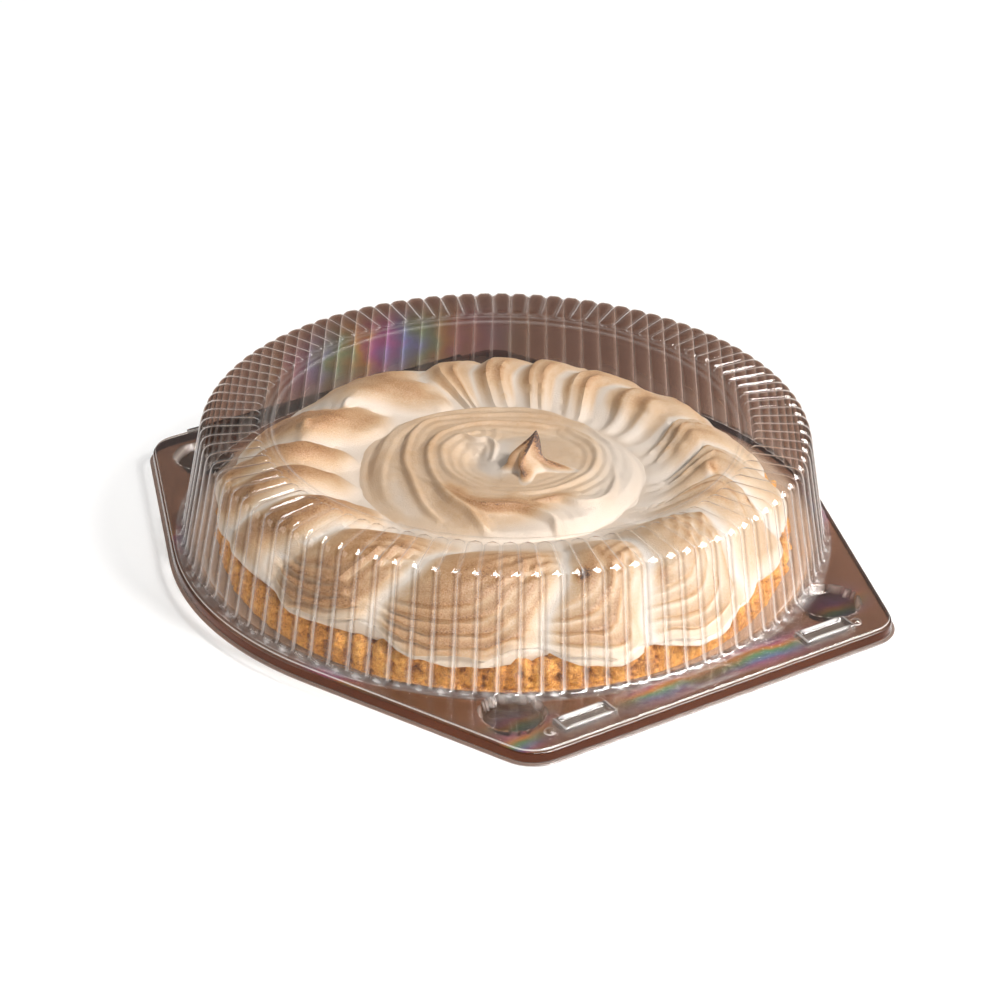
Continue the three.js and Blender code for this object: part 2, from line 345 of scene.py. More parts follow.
def pastry_material(settings):
    """Crumbs and patches from well baked to pale, with painted shade in the cracks between the lumps."""
    material, graph, surface = new_material("Baked pastry")
    crumbs = graph.noise(2.2, 4, 0.7)
    patches = graph.noise(11, 2)
    fine = graph.noise(0.5, 2, 0.7)
    sandy = graph.times(graph.minus(fine, 0.5), 0.8)
    level = graph.plus(graph.times(crumbs, 0.6), graph.times(patches, 0.3), sandy)
    # Painted shade in the cracks between the lumps.
    level = graph.minus(level, graph.times(graph.painted("painted_crack_shade"), 0.16), clamp=True)
    colour = graph.ramp(level, [
        (0.16, settings.painted_crack_shade), (0.33, settings.brown), (0.45, settings.golden), (0.62, settings.pale),
    ])
    height = graph.plus(crumbs, graph.times(fine, 0.3))
    graph.feed(surface, food_shader(graph, colour, height, 0.7, 1.2, rough=0.75, specular=0.3))
    return material


def curd_material(settings):
    """Glossy and slightly cloudy."""
    material, graph, surface = new_material("Lemon curd")
    fine = graph.noise(1.6, 2)
    colour = graph.ramp(graph.noise(14, 3), [(0.3, settings.deep), (0.7, settings.light)])
    rough = graph.plus(graph.times(fine, 0.25), 0.15)
    graph.feed(surface, food_shader(graph, colour, fine, 0.25, 0.6, rough))
    return material


def stress_colour_group():
    """The rainbow colours that strained clear sheet shows: a factor on what the sheet lets through."""
    name = "Stress colours"
    existing = bpy.data.node_groups.get(name)
    if existing:
        return existing
    tree = bpy.data.node_groups.new(name, "ShaderNodeTree")
    sockets = (("Strain", "INPUT", "Float"), ("Order", "INPUT", "Float"), ("Factor", "OUTPUT", "Color"))
    for socket, way, kind in sockets:
        tree.interface.new_socket(socket, in_out=way, socket_type="NodeSocket" + kind)
    given, out = tree.nodes.new("NodeGroupInput").outputs, tree.nodes.new("NodeGroupOutput").inputs
    graph = Graph(tree)
    turns = graph.plus(graph.times(given["Order"], 6.0), graph.times(graph.noise(14, 2), 0.8))
    green, blue, magenta, yellow = (0.7, 3.6, 2.8), (0.7, 2.4, 8.5), (2.4, 0.9, 5.0), (3.2, 2.8, 0.8)
    hue = graph.ramp(graph.maths("FRACT", turns), [
        (0.0, green), (0.25, blue), (0.5, magenta), (0.75, yellow), (1.0, green),
    ])
    graph.feed(out["Factor"], graph.blend("MIX", given["Strain"], (1, 1, 1), hue))
    return tree


def strained(graph, colour):
    """The colour with the rainbow where strain is painted."""
    group = graph.node("Group", node_tree=stress_colour_group())
    graph.feed(group.inputs["Strain"], graph.painted("strain"))
    graph.feed(group.inputs["Order"], graph.painted("rainbow order"))
    return graph.blend("MULTIPLY", 1.0, colour, group.outputs["Factor"])


LIGHT_THROUGH = (0.93, 0.93, 0.93)  # what each sheet lets through of all light but what the eye sees


def sheet_shader(graph, clear, painted_highlight, mirrored):
    """The shader of a clear sheet that lets clear through: only its outer face is coloured and mirrors.
    Where painted it has painted highlights, pale diffuse lines, fainter when it is seen from within. mirrored
    is the share of light that it mirrors seen square on."""
    facing = graph.node("LayerWeight", {"Blend": 0.5}).outputs["Facing"]
    seen_within = graph.node("NewGeometry").outputs["Backfacing"]
    path = graph.node("LightPath").outputs
    seen = graph.blend("MIX", path["Is Camera Ray"], LIGHT_THROUGH, clear)
    through = graph.node("BsdfTransparent", {"Color": seen}).outputs[0]
    mirror = graph.node("BsdfGlossy", {"Color": (1, 1, 1), "Roughness": 0.05}).outputs[0]
    square_on = graph.times(mirrored, graph.minus(1.0, graph.times(seen_within, 0.6)))
    grazing = graph.times(graph.maths("POWER", facing, 5.0), 0.96)
    sheet = graph.layered(graph.plus(grazing, square_on), through, mirror)
    # Painted highlights: pale diffuse lines where their strength is painted, left out of shadows.
    pale = graph.node("BsdfDiffuse", {"Color": painted_highlight}).outputs[0]
    fading = graph.minus(1.0, graph.times(seen_within, 0.7))
    line = graph.times(graph.painted("painted_highlight"), fading, graph.minus(1.0, path["Is Shadow Ray"]))
    inner_face = graph.node("BsdfTransparent", {"Color": (1, 1, 1)}).outputs[0]
    return graph.layered(graph.painted("outer face"), inner_face, graph.layered(line, sheet, pale))


# Painted darkness on the tray: painted shade in the pockets, a painted reflection of a dark room elsewhere.
PAINTED_DARKNESS = {"well": 0.0, "flange": 0.4, "pocket": 0.7, "skirt": 1.0}  # painted depth of tint on the tray
TRAY_MIRRORED, LID_MIRRORED = 0.018, 0.026


def tray_material(settings):
    """Clear moulded sheet painted darker on the flange and again in the pockets and on the skirt: painted
    shade in the pockets, and a painted reflection of a dark room on the flange and skirt.
    """
    material, graph, surface = new_material("Clear tray sheet")
    clear = graph.ramp(graph.painted("depth of painted darkness"), [
        (depth, getattr(settings, "tray_" + part)) for part, depth in PAINTED_DARKNESS.items()
    ])
    graph.feed(surface, sheet_shader(graph, strained(graph, clear), settings.painted_highlight, TRAY_MIRRORED))
    return material


def lid_material(settings):
    """Clear moulded sheet. The near side of the dome lets nearly all light through; the far side, that
    is seen from within, is painted dark brown, a painted reflection of a dark room; both change towards
    grazing views."""
    material, graph, surface = new_material("Clear lid sheet")
    facing = graph.node("LayerWeight", {"Blend": 0.5}).outputs["Facing"]
    seen_within = graph.node("NewGeometry").outputs["Backfacing"]
    aslant = graph.maths("POWER", facing, 1.2)
    near = graph.blend("MIX", aslant, settings.near, settings.near_edge_on)
    # Painted shade beside the grooves on the wall and in the latches' slots.
    near = graph.blend("MULTIPLY", graph.painted("painted_crease_shade"), near, settings.painted_crease_shade)
    # Painted reflection: the far side, seen from within, is painted dark brown as of a dark room behind it,
    # lighter towards grazing views.
    far = strained(graph, graph.blend("MIX", aslant, settings.far, settings.far_edge_on))
    clear = graph.blend("MIX", seen_within, near, far)
    graph.feed(surface, sheet_shader(graph, clear, settings.painted_highlight, LID_MIRRORED))
    return material


# ---------------------------------------------------------------- the ring of piped shells

# The ring's section: radius and height, from the lower outer edge up over the crest, in to the
# swirl's edge and back underneath.
RING_SECTION = [
    (116.0, 14.6), (117.4, 17.6), (116.7, 21.0), (115.2, 24.5), (112.8, 29.0), (109.0, 34.5),
    (103.6, 39.8), (97.0, 43.0), (90.0, 44.4), (84.0, 43.9), (77.0, 41.0), (70.0, 37.4),
    (63.5, 34.4), (58.0, 32.7), (53.0, 31.4), (48.0, 27.5), (46.5, 21.0), (52.0, 16.2),
    (80.0, 15.6), (104.0, 15.4), (112.0, 14.6),
]
RING_COLUMNS, RING_ROWS = 720, 128
RING_CREST = 8  # the section's point at the crest
RING_LAST_SHOWN = 15  # the last of its points that is on show
RING_SHOWN = 0.86  # share of the mesh's rows spent on what is on show
CREST_Z = 44.4
UPPER_Z = 30  # the crest's height is fitted above this
EDGE_S = 43.5  # distance from the crest down to the lower edge
EDGE_Z = 15.6

# Where one shell ends and the next starts, degrees round the pie.
SHELL_EDGES = [-160, -142, -116, -82, -61.5, -34, -9, 13, 34, 60, 74, 87, 100, 115, 146, 172]

# How far, in degrees, a shell's lines lean from the outer face to the crest, how far on to the
# tail, and how far they curve.
LEAN_OUT = [(-168, 3), (-142, 6), (-60, 8), (-20, 4), (30, 0), (120, 0), (171, 1)]
LEAN_IN = [
    (-180, -7), (-170, -3), (-155, 3), (-135, 9), (-116, 9), (-82, 4), (-60, 0), (-34, -8), (-6, -16),
    (20, -12), (45, -4), (100, 0), (112, -5), (125, -12), (143, -17), (164, -13),
]
CURVE = [(-170, 0), (34, 0), (60, -3.5), (112, -3.5), (130, -1), (150, 0)]

# Height of the crest, height of the lower outer edge, and how far the outer side is drawn in, each
# round the pie.
CREST_HEIGHTS = [
    (-180, 43), (-160, 44), (-130, 44.5), (-100, 45), (-30, 45), (-5, 43), (14, 40.5), (40, 38.5),
    (61, 38.5), (74, 39.5), (81, 41.5), (87, 39.5), (94, 41), (102, 39), (118, 39), (130, 38.5),
    (143, 41), (150, 39.5), (165, 41),
]
LOW_EDGE = [
    (-180, 21), (-160, 20), (-149, 23), (-145, 23), (-142, 18), (-138.7, 16.5), (-134.9, 15),
    (-129.4, 17.3), (-125.5, 18), (-119.5, 21), (-117.5, 22), (-115, 19), (-112, 16.5), (-108, 14.6),
    (-103, 14), (-96, 15), (-93, 14), (-91, 16), (-88, 18.3), (-83, 18.3), (-79, 15.5), (-69, 13.2),
    (-60, 14.5), (-54.7, 12.7), (-50, 10.6), (-44, 12.4), (-40, 15), (-34, 11.8), (-31.6, 14.5),
    (-30.4, 19), (-14, 15.5), (0, 16), (40, 17), (100, 18), (150, 19), (165, 20),
]
DRAWN_IN = [
    (-180, 5), (-165, 3), (-150, 2.5), (-130, 1), (-110, 0), (-50, 0), (-31, 3), (-9, 6), (7, 8.5),
    (25, 10.5), (45, 9.5), (55, 8), (70, 5), (95, 4.5), (117, 6), (130, 8), (143, 10), (164, 12),
    (174, 8),
]

# Unevenness of the ring: size of the lumps in millimetres, and seed.
RING_LUMPS, RING_GRAIN, RING_TATTERS = (26, 1.7), (11, 5.1), (4.2, 3.9)

# Tips scorched by the flame: x, y, size, how far they stand out, toast.
SCORCHED = [
    (84.0, -7.4, 3.0, 3.4, 0.55), (97.0, -26.0, 2.6, 1.6, 0.55), (72.0, 20.6, 3.2, 1.2, 0.0),
    (29.5, -93.0, 3.6, 0.4, 0.55), (60.0, -84.0, 3.6, 0.4, 0.55), (-90.0, 25.0, 2.6, 3.6, 0.15),
    (-71.0, 52.0, 2.6, 3.6, 0.15),
]
MOST_TOAST = 0.78  # of all but the scorched tips


def wave(phase, lean):
    """A smooth ridge from -1 to 1 in every unit of phase, steeper on its far side the more it leans."""
    t = TURN * phase
    return np.sin(t + lean * np.sin(t))


def crests(phase, softness):
    """Crisp crests at whole phases with round hollows between, -1 to 1; and their tone, that is
    deepest just after each crest and fades up to the next: partly toast and partly painted shade on one side
    of each crest."""
    hollow = np.sqrt(np.sin(0.5 * TURN * phase) ** 2 + softness**2)
    after = phase % 1.0
    return 1 - 2 * hollow, (1 - 2 * after) * smoothstep(0, 0.12, 1 - after)


# The ridges that the nozzle left on a shell. Each function gives their height in millimetres and their
# tone, -1 to 1, partly toast and partly painted shade on one side of the ridges. w runs from -1 to 1
# across the shell, span is its width, s the distance outwards from the crest.

def fingers(count, w, s, grain):
    """Plump fingers side by side, with finer ribs, ending in points towards the swirl."""
    across = 2 * (((w + 1) * count / 2 + 0.05 * grain) % 1.0) - 1
    rounded = 1 - np.abs(across) ** 2.2
    end = 26 + 9 * (1 - np.abs(across))
    along = 1 - smoothstep(end - 6, end + 1, -s)
    fade = 1 - 0.6 * smoothstep(8, 26, s)
    ribs = 0.3 * np.cos(TURN * 2.5 * across) * along
    relief = 5.0 * (rounded - 0.6) * along * fade - 1.2 * (1 - along) + ribs
    return relief, 1.3 * rounded * along - 0.75 - 0.5 * across * along


def one_finger(w, span, s, grain):
    return fingers(1, w, s, grain)


def two_fingers(w, span, s, grain):
    return fingers(2, w, s, grain)


def arcs(w, span, s, grain):
    """Ledges that follow the shell's lower edge and turn up along its right side, and slanting strokes
    over the crest."""
    down = np.maximum(EDGE_S - s, 0.1)
    aside = (1 - w) * span * 0.42 + 2.5
    inward = (down**-3 + aside**-3) ** (-1 / 3) + 0.7 * grain
    fade = smoothstep(-12, 4, s) * smoothstep(0.03, 0.3, 1 - np.abs(w)) * smoothstep(0.5, 3, inward)
    ledges = wave(inward / 4.1 + 0.1, 0.8) * (1 - smoothstep(15, 27, inward)) * fade
    slant = (0.62 * w * span / 2 + 0.75 * s) / 6.0 + 0.12 * grain
    strokes, shade = crests(-slant, 0.3)
    high = bump(s, 0, 12) * smoothstep(1.0, 0.6, np.abs(w)) * smoothstep(-0.6, 0.2, w)
    return 2.0 * ledges + 1.1 * strokes * high, 0.75 * ledges + 0.6 * shade * high


def eye(w, span, s, grain):
    """Crescents that fan out from the shell's tail and bend over its crest to where the nozzle turned."""
    ridges, shade = crests((w + 1) * 1.75 + 0.1 * grain + 0.5 * ((s + 8) / 22) ** 2, 0.22)
    strength = smoothstep(-0.6, 0, w) * (1 - smoothstep(14, 26, s)) * smoothstep(0.05, 0.3, 1 - np.abs(w))
    return 1.9 * ridges * strength, 0.6 * shade * strength - 0.5 * smoothstep(16, 28, -s)


def folds(w, span, s, grain):
    """Curved crescents laid one against the next."""
    ridges, shade = crests((w + 1) * 1.5 + 0.08 * grain, 0.16)
    fade = 1 - 0.8 * smoothstep(0, 13, s)
    return 1.9 * ridges * fade, 0.65 * shade * fade - 0.7 * smoothstep(14, 27, -s)


# One row for each shell, from SHELL_EDGES[0] on: its ridges; how far it stands out on its outer face,
# on its crest and on its inner slope; toast on these three.
# The toast is deepest on the shells to the left, turned from the key lamp, and least on those that face it:
# partly painted shade.
SHELLS = [
    (one_finger, (4.5, 4.2, 3.6), (0.54, 0.60, 0.44)),
    (arcs, (5.0, 4.0, 3.0), (0.64, 0.62, 0.33)),
    (arcs, (5.5, 4.5, 3.0), (0.60, 0.64, 0.26)),
    (arcs, (4.5, 4.5, 3.0), (0.44, 0.54, 0.22)),
    (arcs, (5.0, 4.5, 3.2), (0.34, 0.46, 0.24)),
    (eye, (5.0, 4.6, 3.4), (0.30, 0.42, 0.26)),
    (eye, (4.6, 5.0, 4.4), (0.28, 0.40, 0.26)),
    (eye, (4.6, 4.6, 4.2), (0.34, 0.40, 0.24)),
    *((folds, (4.6, 3.6, 3.0), toast) for toast in (
        (0.40, 0.46, 0.30), (0.40, 0.48, 0.36), (0.40, 0.48, 0.34), (0.42, 0.48, 0.34), (0.42, 0.48, 0.34))),
    (one_finger, (4.6, 3.6, 3.2), (0.42, 0.44, 0.30)),
    (one_finger, (4.6, 4.2, 3.8), (0.46, 0.52, 0.40)),
    (two_fingers, (4.6, 4.4, 3.8), (0.50, 0.56, 0.42)),
]


def ring_section(share):
    """Radius, height, outward direction and distance from the crest, at a share of the way round."""
    line = curve_through(RING_SECTION + RING_SECTION[:1], 1200)
    along = distances_along(line)
    last_shown, crest = [
        along[np.argmin(np.hypot(*(line - RING_SECTION[k]).T))] for k in (RING_LAST_SHOWN, RING_CREST)
    ]
    d = np.interp(share, [0, RING_SHOWN, 1], [0, last_shown, along[-1]])

    def at(distance):
        return np.array([np.interp(distance, along, column) for column in line.T])

    ahead = at((d + 1.5) % along[-1]) - at((d - 1.5) % along[-1])
    along_r, along_z = ahead / np.hypot(*ahead)
    return (*at(d), along_z, -along_r, crest - d)


def ring_lines(azimuth, s):
    """Degrees at which each of the shells' lines starts, and where it has come to at s."""
    start = (np.degrees(azimuth) - SHELL_EDGES[0]) % 360 + SHELL_EDGES[0]
    place = start + smoothstep(32, 0, s) * round_table(LEAN_OUT, start)
    place = place + np.clip(-s / 30, 0, 1) * round_table(LEAN_IN, start)
    return start, place + round_table(CURVE, start) * (((s + 10) / 26) ** 2 - 0.15)


def across_shells(start, r):
    """For lines that start there: the shell's number, -1 to 1 across it, and its width."""
    edges = np.array([*SHELL_EDGES, SHELL_EDGES[0] + 360], float)
    number = np.clip(np.searchsorted(edges, start, side="right") - 1, 0, len(SHELLS) - 1)
    left, right = edges[number], edges[number + 1]
    return number, 2 * (start - left) / (right - left) - 1, np.radians(right - left) * r


def scorched_tips(x, y, column):
    """That column of SCORCHED, faded out from each tip."""
    return sum(tip[column] * bump(np.hypot(x - tip[0], y - tip[1]), 0, tip[2]) for tip in SCORCHED)


def meringue_ring(settings):
    piece, azimuth, share = ring_grid("meringue_ring", RING_COLUMNS, RING_ROWS)
    r, z, out_r, out_z, s = ring_section(share)
    start, degrees = ring_lines(azimuth, s)
    degrees = degrees + 1.2 * unevenness(round_points(r, np.radians(degrees), z), *RING_LUMPS)
    azimuth = np.radians(degrees)
    base = round_points(r, azimuth, z)
    lumps, grain, tatters = [unevenness(base, *kind) for kind in (RING_LUMPS, RING_GRAIN, RING_TATTERS)]

    number, w, span = across_shells(start, r)
    ridges, stands, toasts = zip(*SHELLS)
    relief, tone = np.zeros(len(r)), np.zeros(len(r))
    for k, shape in enumerate(ridges):
        here = number == k
        relief[here], tone[here] = shape(w[here], span[here], s[here], grain[here])
    fingered = np.isin(number, [k for k, shape in enumerate(ridges) if shape in (one_finger, two_fingers)])
    inside = smoothstep(0, 0.25, 1 - np.abs(w)) * (1 - smoothstep(30, 37, -s))
    ridged = np.where(fingered, 1 - smoothstep(34, 37, -s), inside)

    outer, inner = smoothstep(4, 20, s), smoothstep(2, 20, -s)
    faces = np.stack([outer, 1 - outer - inner, inner], 1)
    stand = (np.array(stands)[number] * faces).sum(1) * (1 - 0.9 * smoothstep(24, 36, -s))
    shown = 1 - smoothstep(RING_SHOWN - 0.01, RING_SHOWN + 0.02, share)
    across = 1 - np.abs(w) ** 2.6
    push = stand * np.where(fingered, 0.3, 1.0) * (across - 1) + relief * ridged + 0.8 * lumps + 0.3 * grain
    push = push * shown + scorched_tips(base[:, 0], base[:, 1], 3) * (z > 36)

    low = round_table(LOW_EDGE, degrees) + 0.9 * grain + 1.6 * tatters * smoothstep(24, 34, s)
    raised = mix(UPPER_Z, round_table(CREST_HEIGHTS, degrees), (z - UPPER_Z) / (CREST_Z - UPPER_Z))
    z = np.where(z > UPPER_Z, raised, z)
    hang = smoothstep(18, 38, s) * (r > 100)
    jut = 3.2 * smoothstep(26, 38, s) * (r > 100) * smoothstep(16, 12, low)
    drawn_in = round_table(DRAWN_IN, degrees) * smoothstep(66, 105, r) * mix(0.35, 1, smoothstep(16, 30, z))
    r = r + out_r * push + jut - drawn_in
    points = round_points(r, azimuth, z + out_z * push + hang * (low - EDGE_Z))
    move_vertices(piece, pie_to_dish(points))

    toast = 0.05 + (np.array(toasts)[number] * faces).sum(1) * (0.45 + 0.66 * across)
    # The ridges' tone adds partly toast and partly painted shade.
    toast += 0.32 * tone * ridged + 0.14 * lumps + 0.05 * grain
    toast -= 0.40 * smoothstep(0.76, 1.0, np.abs(w)) * (1 - 0.3 * outer) * (~fingered)
    toast *= 1 - 0.75 * smoothstep(20, 33, -s)
    toast *= 1 - 0.75 * smoothstep(EDGE_S - 8, EDGE_S - 3, s + 3.0 * lumps)
    toast = np.minimum(toast, MOST_TOAST) + scorched_tips(points[:, 0], points[:, 1], 4) * (points[:, 2] > 34)
    paint(piece, "toast", toast * settings.toast)
    close_and_smooth(piece)
    soften(piece, 2)
    return piece


# ---------------------------------------------------------------- the swirl and its peak

SWIRL_COLUMNS, SWIRL_ROWS = 440, 128
SWIRL_TOP = 0.88  # share of the rows spent on the upper face
SWIRL_EDGE_Z, SWIRL_FOOT_Z = 30.6, 20.0
SWIRL_EDGE = [
    (125, 64), (145, 64), (165, 61), (-158, 61), (-146, 62), (-100, 61), (-60, 59), (0, 58), (60, 59),
]  # its radius, round the pie
SWIRL_LUMPS, SWIRL_GRAIN = (18, 3.3), (5, 8.8)
CRATER, CRATER_SIZE, CRATER_DEPTH = (-13.0, 5.0), (8.0, 10.0), 3.4
STROKE_SOFTNESS = 0.45
RIB_GAP = 4.2  # between the fine ribs along each stroke
PEAK_FOOT = (10.0, -3.5)
PEAK_FOOT_Z = 39.6
PEAK_TOP = (11.2, -0.6, 53.6)
PEAK_REACH = 6.4  # how far its foot reaches between the ridges
PEAK_RIDGES = [(200, 22, 5.0), (-98, 15, 9.0), (-12, 15, 10.5), (80, 30, 1.5)]  # direction, width, more reach
LONGEST_RIDGE = 10.5

# The swirl's ridges: points (x, y, height); widths of the slope on the left and on the right of the
# way they run; how far each side falls; toast along the crest, and on the side that falls further.
# The toast on the side that falls further is partly painted shade and light: brown on the cliff turned from
# the key lamp, nearly white on the cliffs that face it.
STROKES = [
    # the widest coil, round the back and left
    ([(32, 42, 36.4), (14, 51, 36.8), (-4, 52, 36.8), (-20, 49, 36.8), (-31, 44, 37.0), (-41, 37, 37.2),
      (-48, 26, 37.4), (-51, 12, 37.2), (-53, -3, 37.0), (-53, -15, 36.4), (-50, -28, 35.4),
      (-42, -38, 34.4)],
     8.0, 7.0, 1.2, 4.2, 0.36, 0.26),
    # the second coil, with the deep cleft outside it
    ([(43, 20, 37.4), (34, 34, 37.8), (20, 42, 38.0), (6, 44, 38.2), (-8, 43, 38.2), (-25, 40, 38.2),
      (-33, 35, 38.4), (-38, 25, 38.6), (-40, 12, 38.8), (-40, -2, 38.8), (-37, -15, 38.6), (-34, -27, 38.0),
      (-30, -37, 37.0), (-25, -44, 35.6)],
     8.0, 4.0, 1.4, 3.2, 0.40, 0.34),
    # the third coil, which ends in a cliff at the front
    ([(38, 12, 38.0), (34, 24, 38.6), (24, 31, 39.0), (13, 33, 39.4), (1, 34, 39.6), (-9, 33, 39.8),
      (-19, 29, 40.0), (-27, 21, 40.2), (-31, 8, 40.4), (-30, -8, 40.6), (-26, -22, 40.8), (-21, -33, 40.8),
      (-15, -40, 40.4), (-11, -46, 39.0), (-7, -52, 36.6)],
     7.0, 6.0, 1.6, 4.2, 0.46, 0.52),
    # the innermost coil, round the crater and under the peak
    ([(-12, 24, 40.0), (-20, 19, 40.4), (-25, 9, 40.6), (-25, -2, 40.6), (-22, -13, 40.6), (-15, -22, 40.8),
      (-7, -28, 41.0), (5, -30, 41.0), (17, -26, 40.8), (28, -17, 40.4), (35, -6, 40.0), (37, 7, 39.6),
      (34, 19, 39.0), (26, 29, 38.6)],
     9.0, 7.0, 1.4, 1.6, 0.36, 0.34),
    # the thick roll across the front
    ([(-23, -27, 40.8), (-15, -36, 41.4), (-7, -40, 41.8), (5, -40, 41.8), (14, -43, 41.2), (19, -46, 40.0),
      (21, -51, 36.6)],
     8.0, 5.0, 1.0, 6.0, 0.78, 0.06),
    # the thin ridge out to the right
    ([(12, -36, 41.0), (22, -33, 41.8), (29, -35, 41.4), (36, -33, 40.8), (41, -26, 39.6), (44, -12, 38.4),
      (43, 3, 37.2)],
     6.0, 7.0, 1.6, 4.4, 0.80, 0.12),
    # a torn dollop inside the crater
    ([(-17, 21, 40.2), (-12, 17, 40.8), (-7, 18, 40.6), (-4, 12, 40.4), (-5, 3, 39.2)],
     2.2, 3.4, 2.0, 1.2, 0.30, 0.30),
]


def nearest_on(line, x, y):
    """Distance from x, y to the line, its height there, and 1 on its left and -1 on its right."""
    best = np.full(len(x), 1e9)
    height, side = np.zeros(len(x)), np.zeros(len(x))
    for a, b in zip(line[:-1], line[1:]):
        dx, dy = (b - a)[:2]
        t = np.clip(((x - a[0]) * dx + (y - a[1]) * dy) / (dx**2 + dy**2), 0, 1)
        gap = np.hypot(x - a[0] - t * dx, y - a[1] - t * dy)
        near = gap < best
        best = np.where(near, gap, best)
        height = np.where(near, mix(a[2], b[2], t), height)
        side = np.where(near, np.sign(dx * (y - a[1]) - dy * (x - a[0])), side)
    return best, height, side


def stroke_shape(x, y, stroke):
    """Height that one stroke alone would give at x, y, its toast there, and the distance from it."""
    points, left, right, fall_left, fall_right, toast, face = stroke
    away, height, side = nearest_on(curve_through(points, 90), x, y)
    width = np.where(side > 0, left, right)
    fall = np.where(side > 0, fall_left, fall_right)
    t = away / width
    crisp = np.sqrt(np.minimum(t, 1) ** 2 + 0.02) - 0.14
    drop = 1.15 * fall * np.where(t < 1, crisp * (2 - crisp), t)
    cliff = fall == max(fall_left, fall_right)
    brown = mix(0.33, toast, bump(away, 0, np.where(cliff, 0.5, 0.8) * width))
    # On the side that falls further: partly painted shade and painted light.
    brown = mix(brown, face, cliff * smoothstep(0.25, 0.85, t))
    return height - drop, brown, away


def peak_reach(angle):
    """How far the peak's foot reaches, by direction: long along its three pulled ridges."""
    ridges = [more * bump(around(np.degrees(angle), way), 0, width) for way, width, more in PEAK_RIDGES]
    return PEAK_REACH + sum(ridges)


def swirl_reach(angle):
    """How far the swirl reaches before its slope: shorter on its right-hand side."""
    right = 0.5 + 0.5 * np.cos(angle - math.radians(-15))
    return mix(58.0, 44.0, smoothstep(0.35, 0.95, right))


def with_strokes(x, y, height, brown):
    """Lays the strokes one over the other; their fine ribs come on top."""
    ribs = np.zeros(len(x))
    for stroke in STROKES:
        own, toast, away = stroke_shape(x, y, stroke)
        over = np.clip((own - height) / STROKE_SOFTNESS, -30, 30)
        height = height + STROKE_SOFTNESS * np.logaddexp(0, over)
        share = 1 / (1 + np.exp(-over))
        brown = mix(brown, toast, share)
        ribs = mix(ribs, 0.3 * np.cos(TURN * away / RIB_GAP) * bump(away, 0, 11), share)
    crater = bump(x, CRATER[0], CRATER_SIZE[0]) * bump(y, CRATER[1], CRATER_SIZE[1])
    return height + ribs - CRATER_DEPTH * crater * (1 - 0.7 * share), brown


def with_peak(x, y, height, brown):
    """Height and toast with the pulled peak, and the share of the way up it."""
    px, py = x - PEAK_FOOT[0], y - PEAK_FOOT[1]
    reach = peak_reach(np.arctan2(py, px))
    up = np.clip(1 - np.hypot(px, py) / (1.25 * reach), 0, 1)
    ridge = (reach - PEAK_REACH) / LONGEST_RIDGE
    lift = (PEAK_TOP[2] - PEAK_FOOT_Z) * up ** (1.7 + 0.9 * ridge)
    height = mix(height, np.maximum(height, PEAK_FOOT_Z + 0.2), smoothstep(0.0, 0.35, up)) + lift
    peak_brown = smoothstep(0.02, 0.4, up) * (0.46 + 0.5 * ridge) + 0.7 * smoothstep(0.66, 0.95, up)
    return height, mix(brown, peak_brown, smoothstep(0, 0.12, up)), up


def meringue_swirl(settings):
    piece, azimuth, share = wrapped_grid("meringue_swirl", SWIRL_COLUMNS, SWIRL_ROWS)
    t = np.clip(share / SWIRL_TOP, 0, 1) ** 1.12
    edge_r = round_table(SWIRL_EDGE, np.degrees(azimuth)) + 0.9 * np.sin(5 * azimuth + 1)
    rim_x, rim_y = edge_r * np.cos(azimuth), edge_r * np.sin(azimuth)
    x, y = mix(PEAK_FOOT[0], rim_x, t), mix(PEAK_FOOT[1], rim_y, t)
    reach = swirl_reach(np.arctan2(y, x))
    level = mix(35.4, SWIRL_EDGE_Z, smoothstep(reach - 16, reach + 10, np.hypot(x, y)))
    level = mix(39.0, level, smoothstep(16, 34, np.hypot(x - 12, y)))
    height, brown = with_strokes(x, y, level, 0.30 * smoothstep(-12, 14, x))
    height, brown, up = with_peak(x, y, height, brown)
    lumps, grain = [unevenness(np.stack([x, y, height], 1), *kind) for kind in (SWIRL_LUMPS, SWIRL_GRAIN)]
    height = height + (0.55 * lumps + 0.16 * grain) * (1 - smoothstep(0.5, 0.9, up))
    height = mix(height, np.minimum(height, SWIRL_EDGE_Z + 1.2), smoothstep(0.84, 0.95, t))
    height = mix(height, SWIRL_EDGE_Z, smoothstep(0.95, 1.0, t))

    under = share > SWIRL_TOP
    back = np.clip((share - SWIRL_TOP) / (1 - SWIRL_TOP), 0, 1)
    inward = np.clip(1.25 * (1 - back), 0, 1)
    bend = smoothstep(0.45, 1.0, up) * (~under)
    x = np.where(under, rim_x * inward, x) + (PEAK_TOP[0] - PEAK_FOOT[0] + 1.0) * bend
    x = x - 3.0 * bump(up, 0.62, 0.22) * (~under)
    y = np.where(under, rim_y * inward, y) + (PEAK_TOP[1] - PEAK_FOOT[1]) * bend
    z = np.where(under, mix(SWIRL_EDGE_Z, SWIRL_FOOT_Z, smoothstep(0, 0.3, back)), height)
    move_vertices(piece, pie_to_dish(np.stack([x, y, z], 1)))

    toast = brown + 0.08 * lumps + 0.04 * grain
    # Paler in the crater; paler too towards the key lamp's side and on the edge that faces it, which is
    # partly painted light.
    toast -= 0.12 * smoothstep(15, 50, x) + 0.2 * bump(x, -5, 12) * bump(y, 9, 12)
    whiter = mix(0.25, 0.85, smoothstep(-0.2, 0.6, np.cos(azimuth - math.radians(-40))))
    toast *= 1 - whiter * smoothstep(-8, 2, np.hypot(x, y) - swirl_reach(azimuth)) * (share < SWIRL_TOP)
    paint(piece, "toast", toast * settings.toast)
    close_and_smooth(piece)
    soften(piece, 1)
    return piece


# ---------------------------------------------------------------- pastry and curd

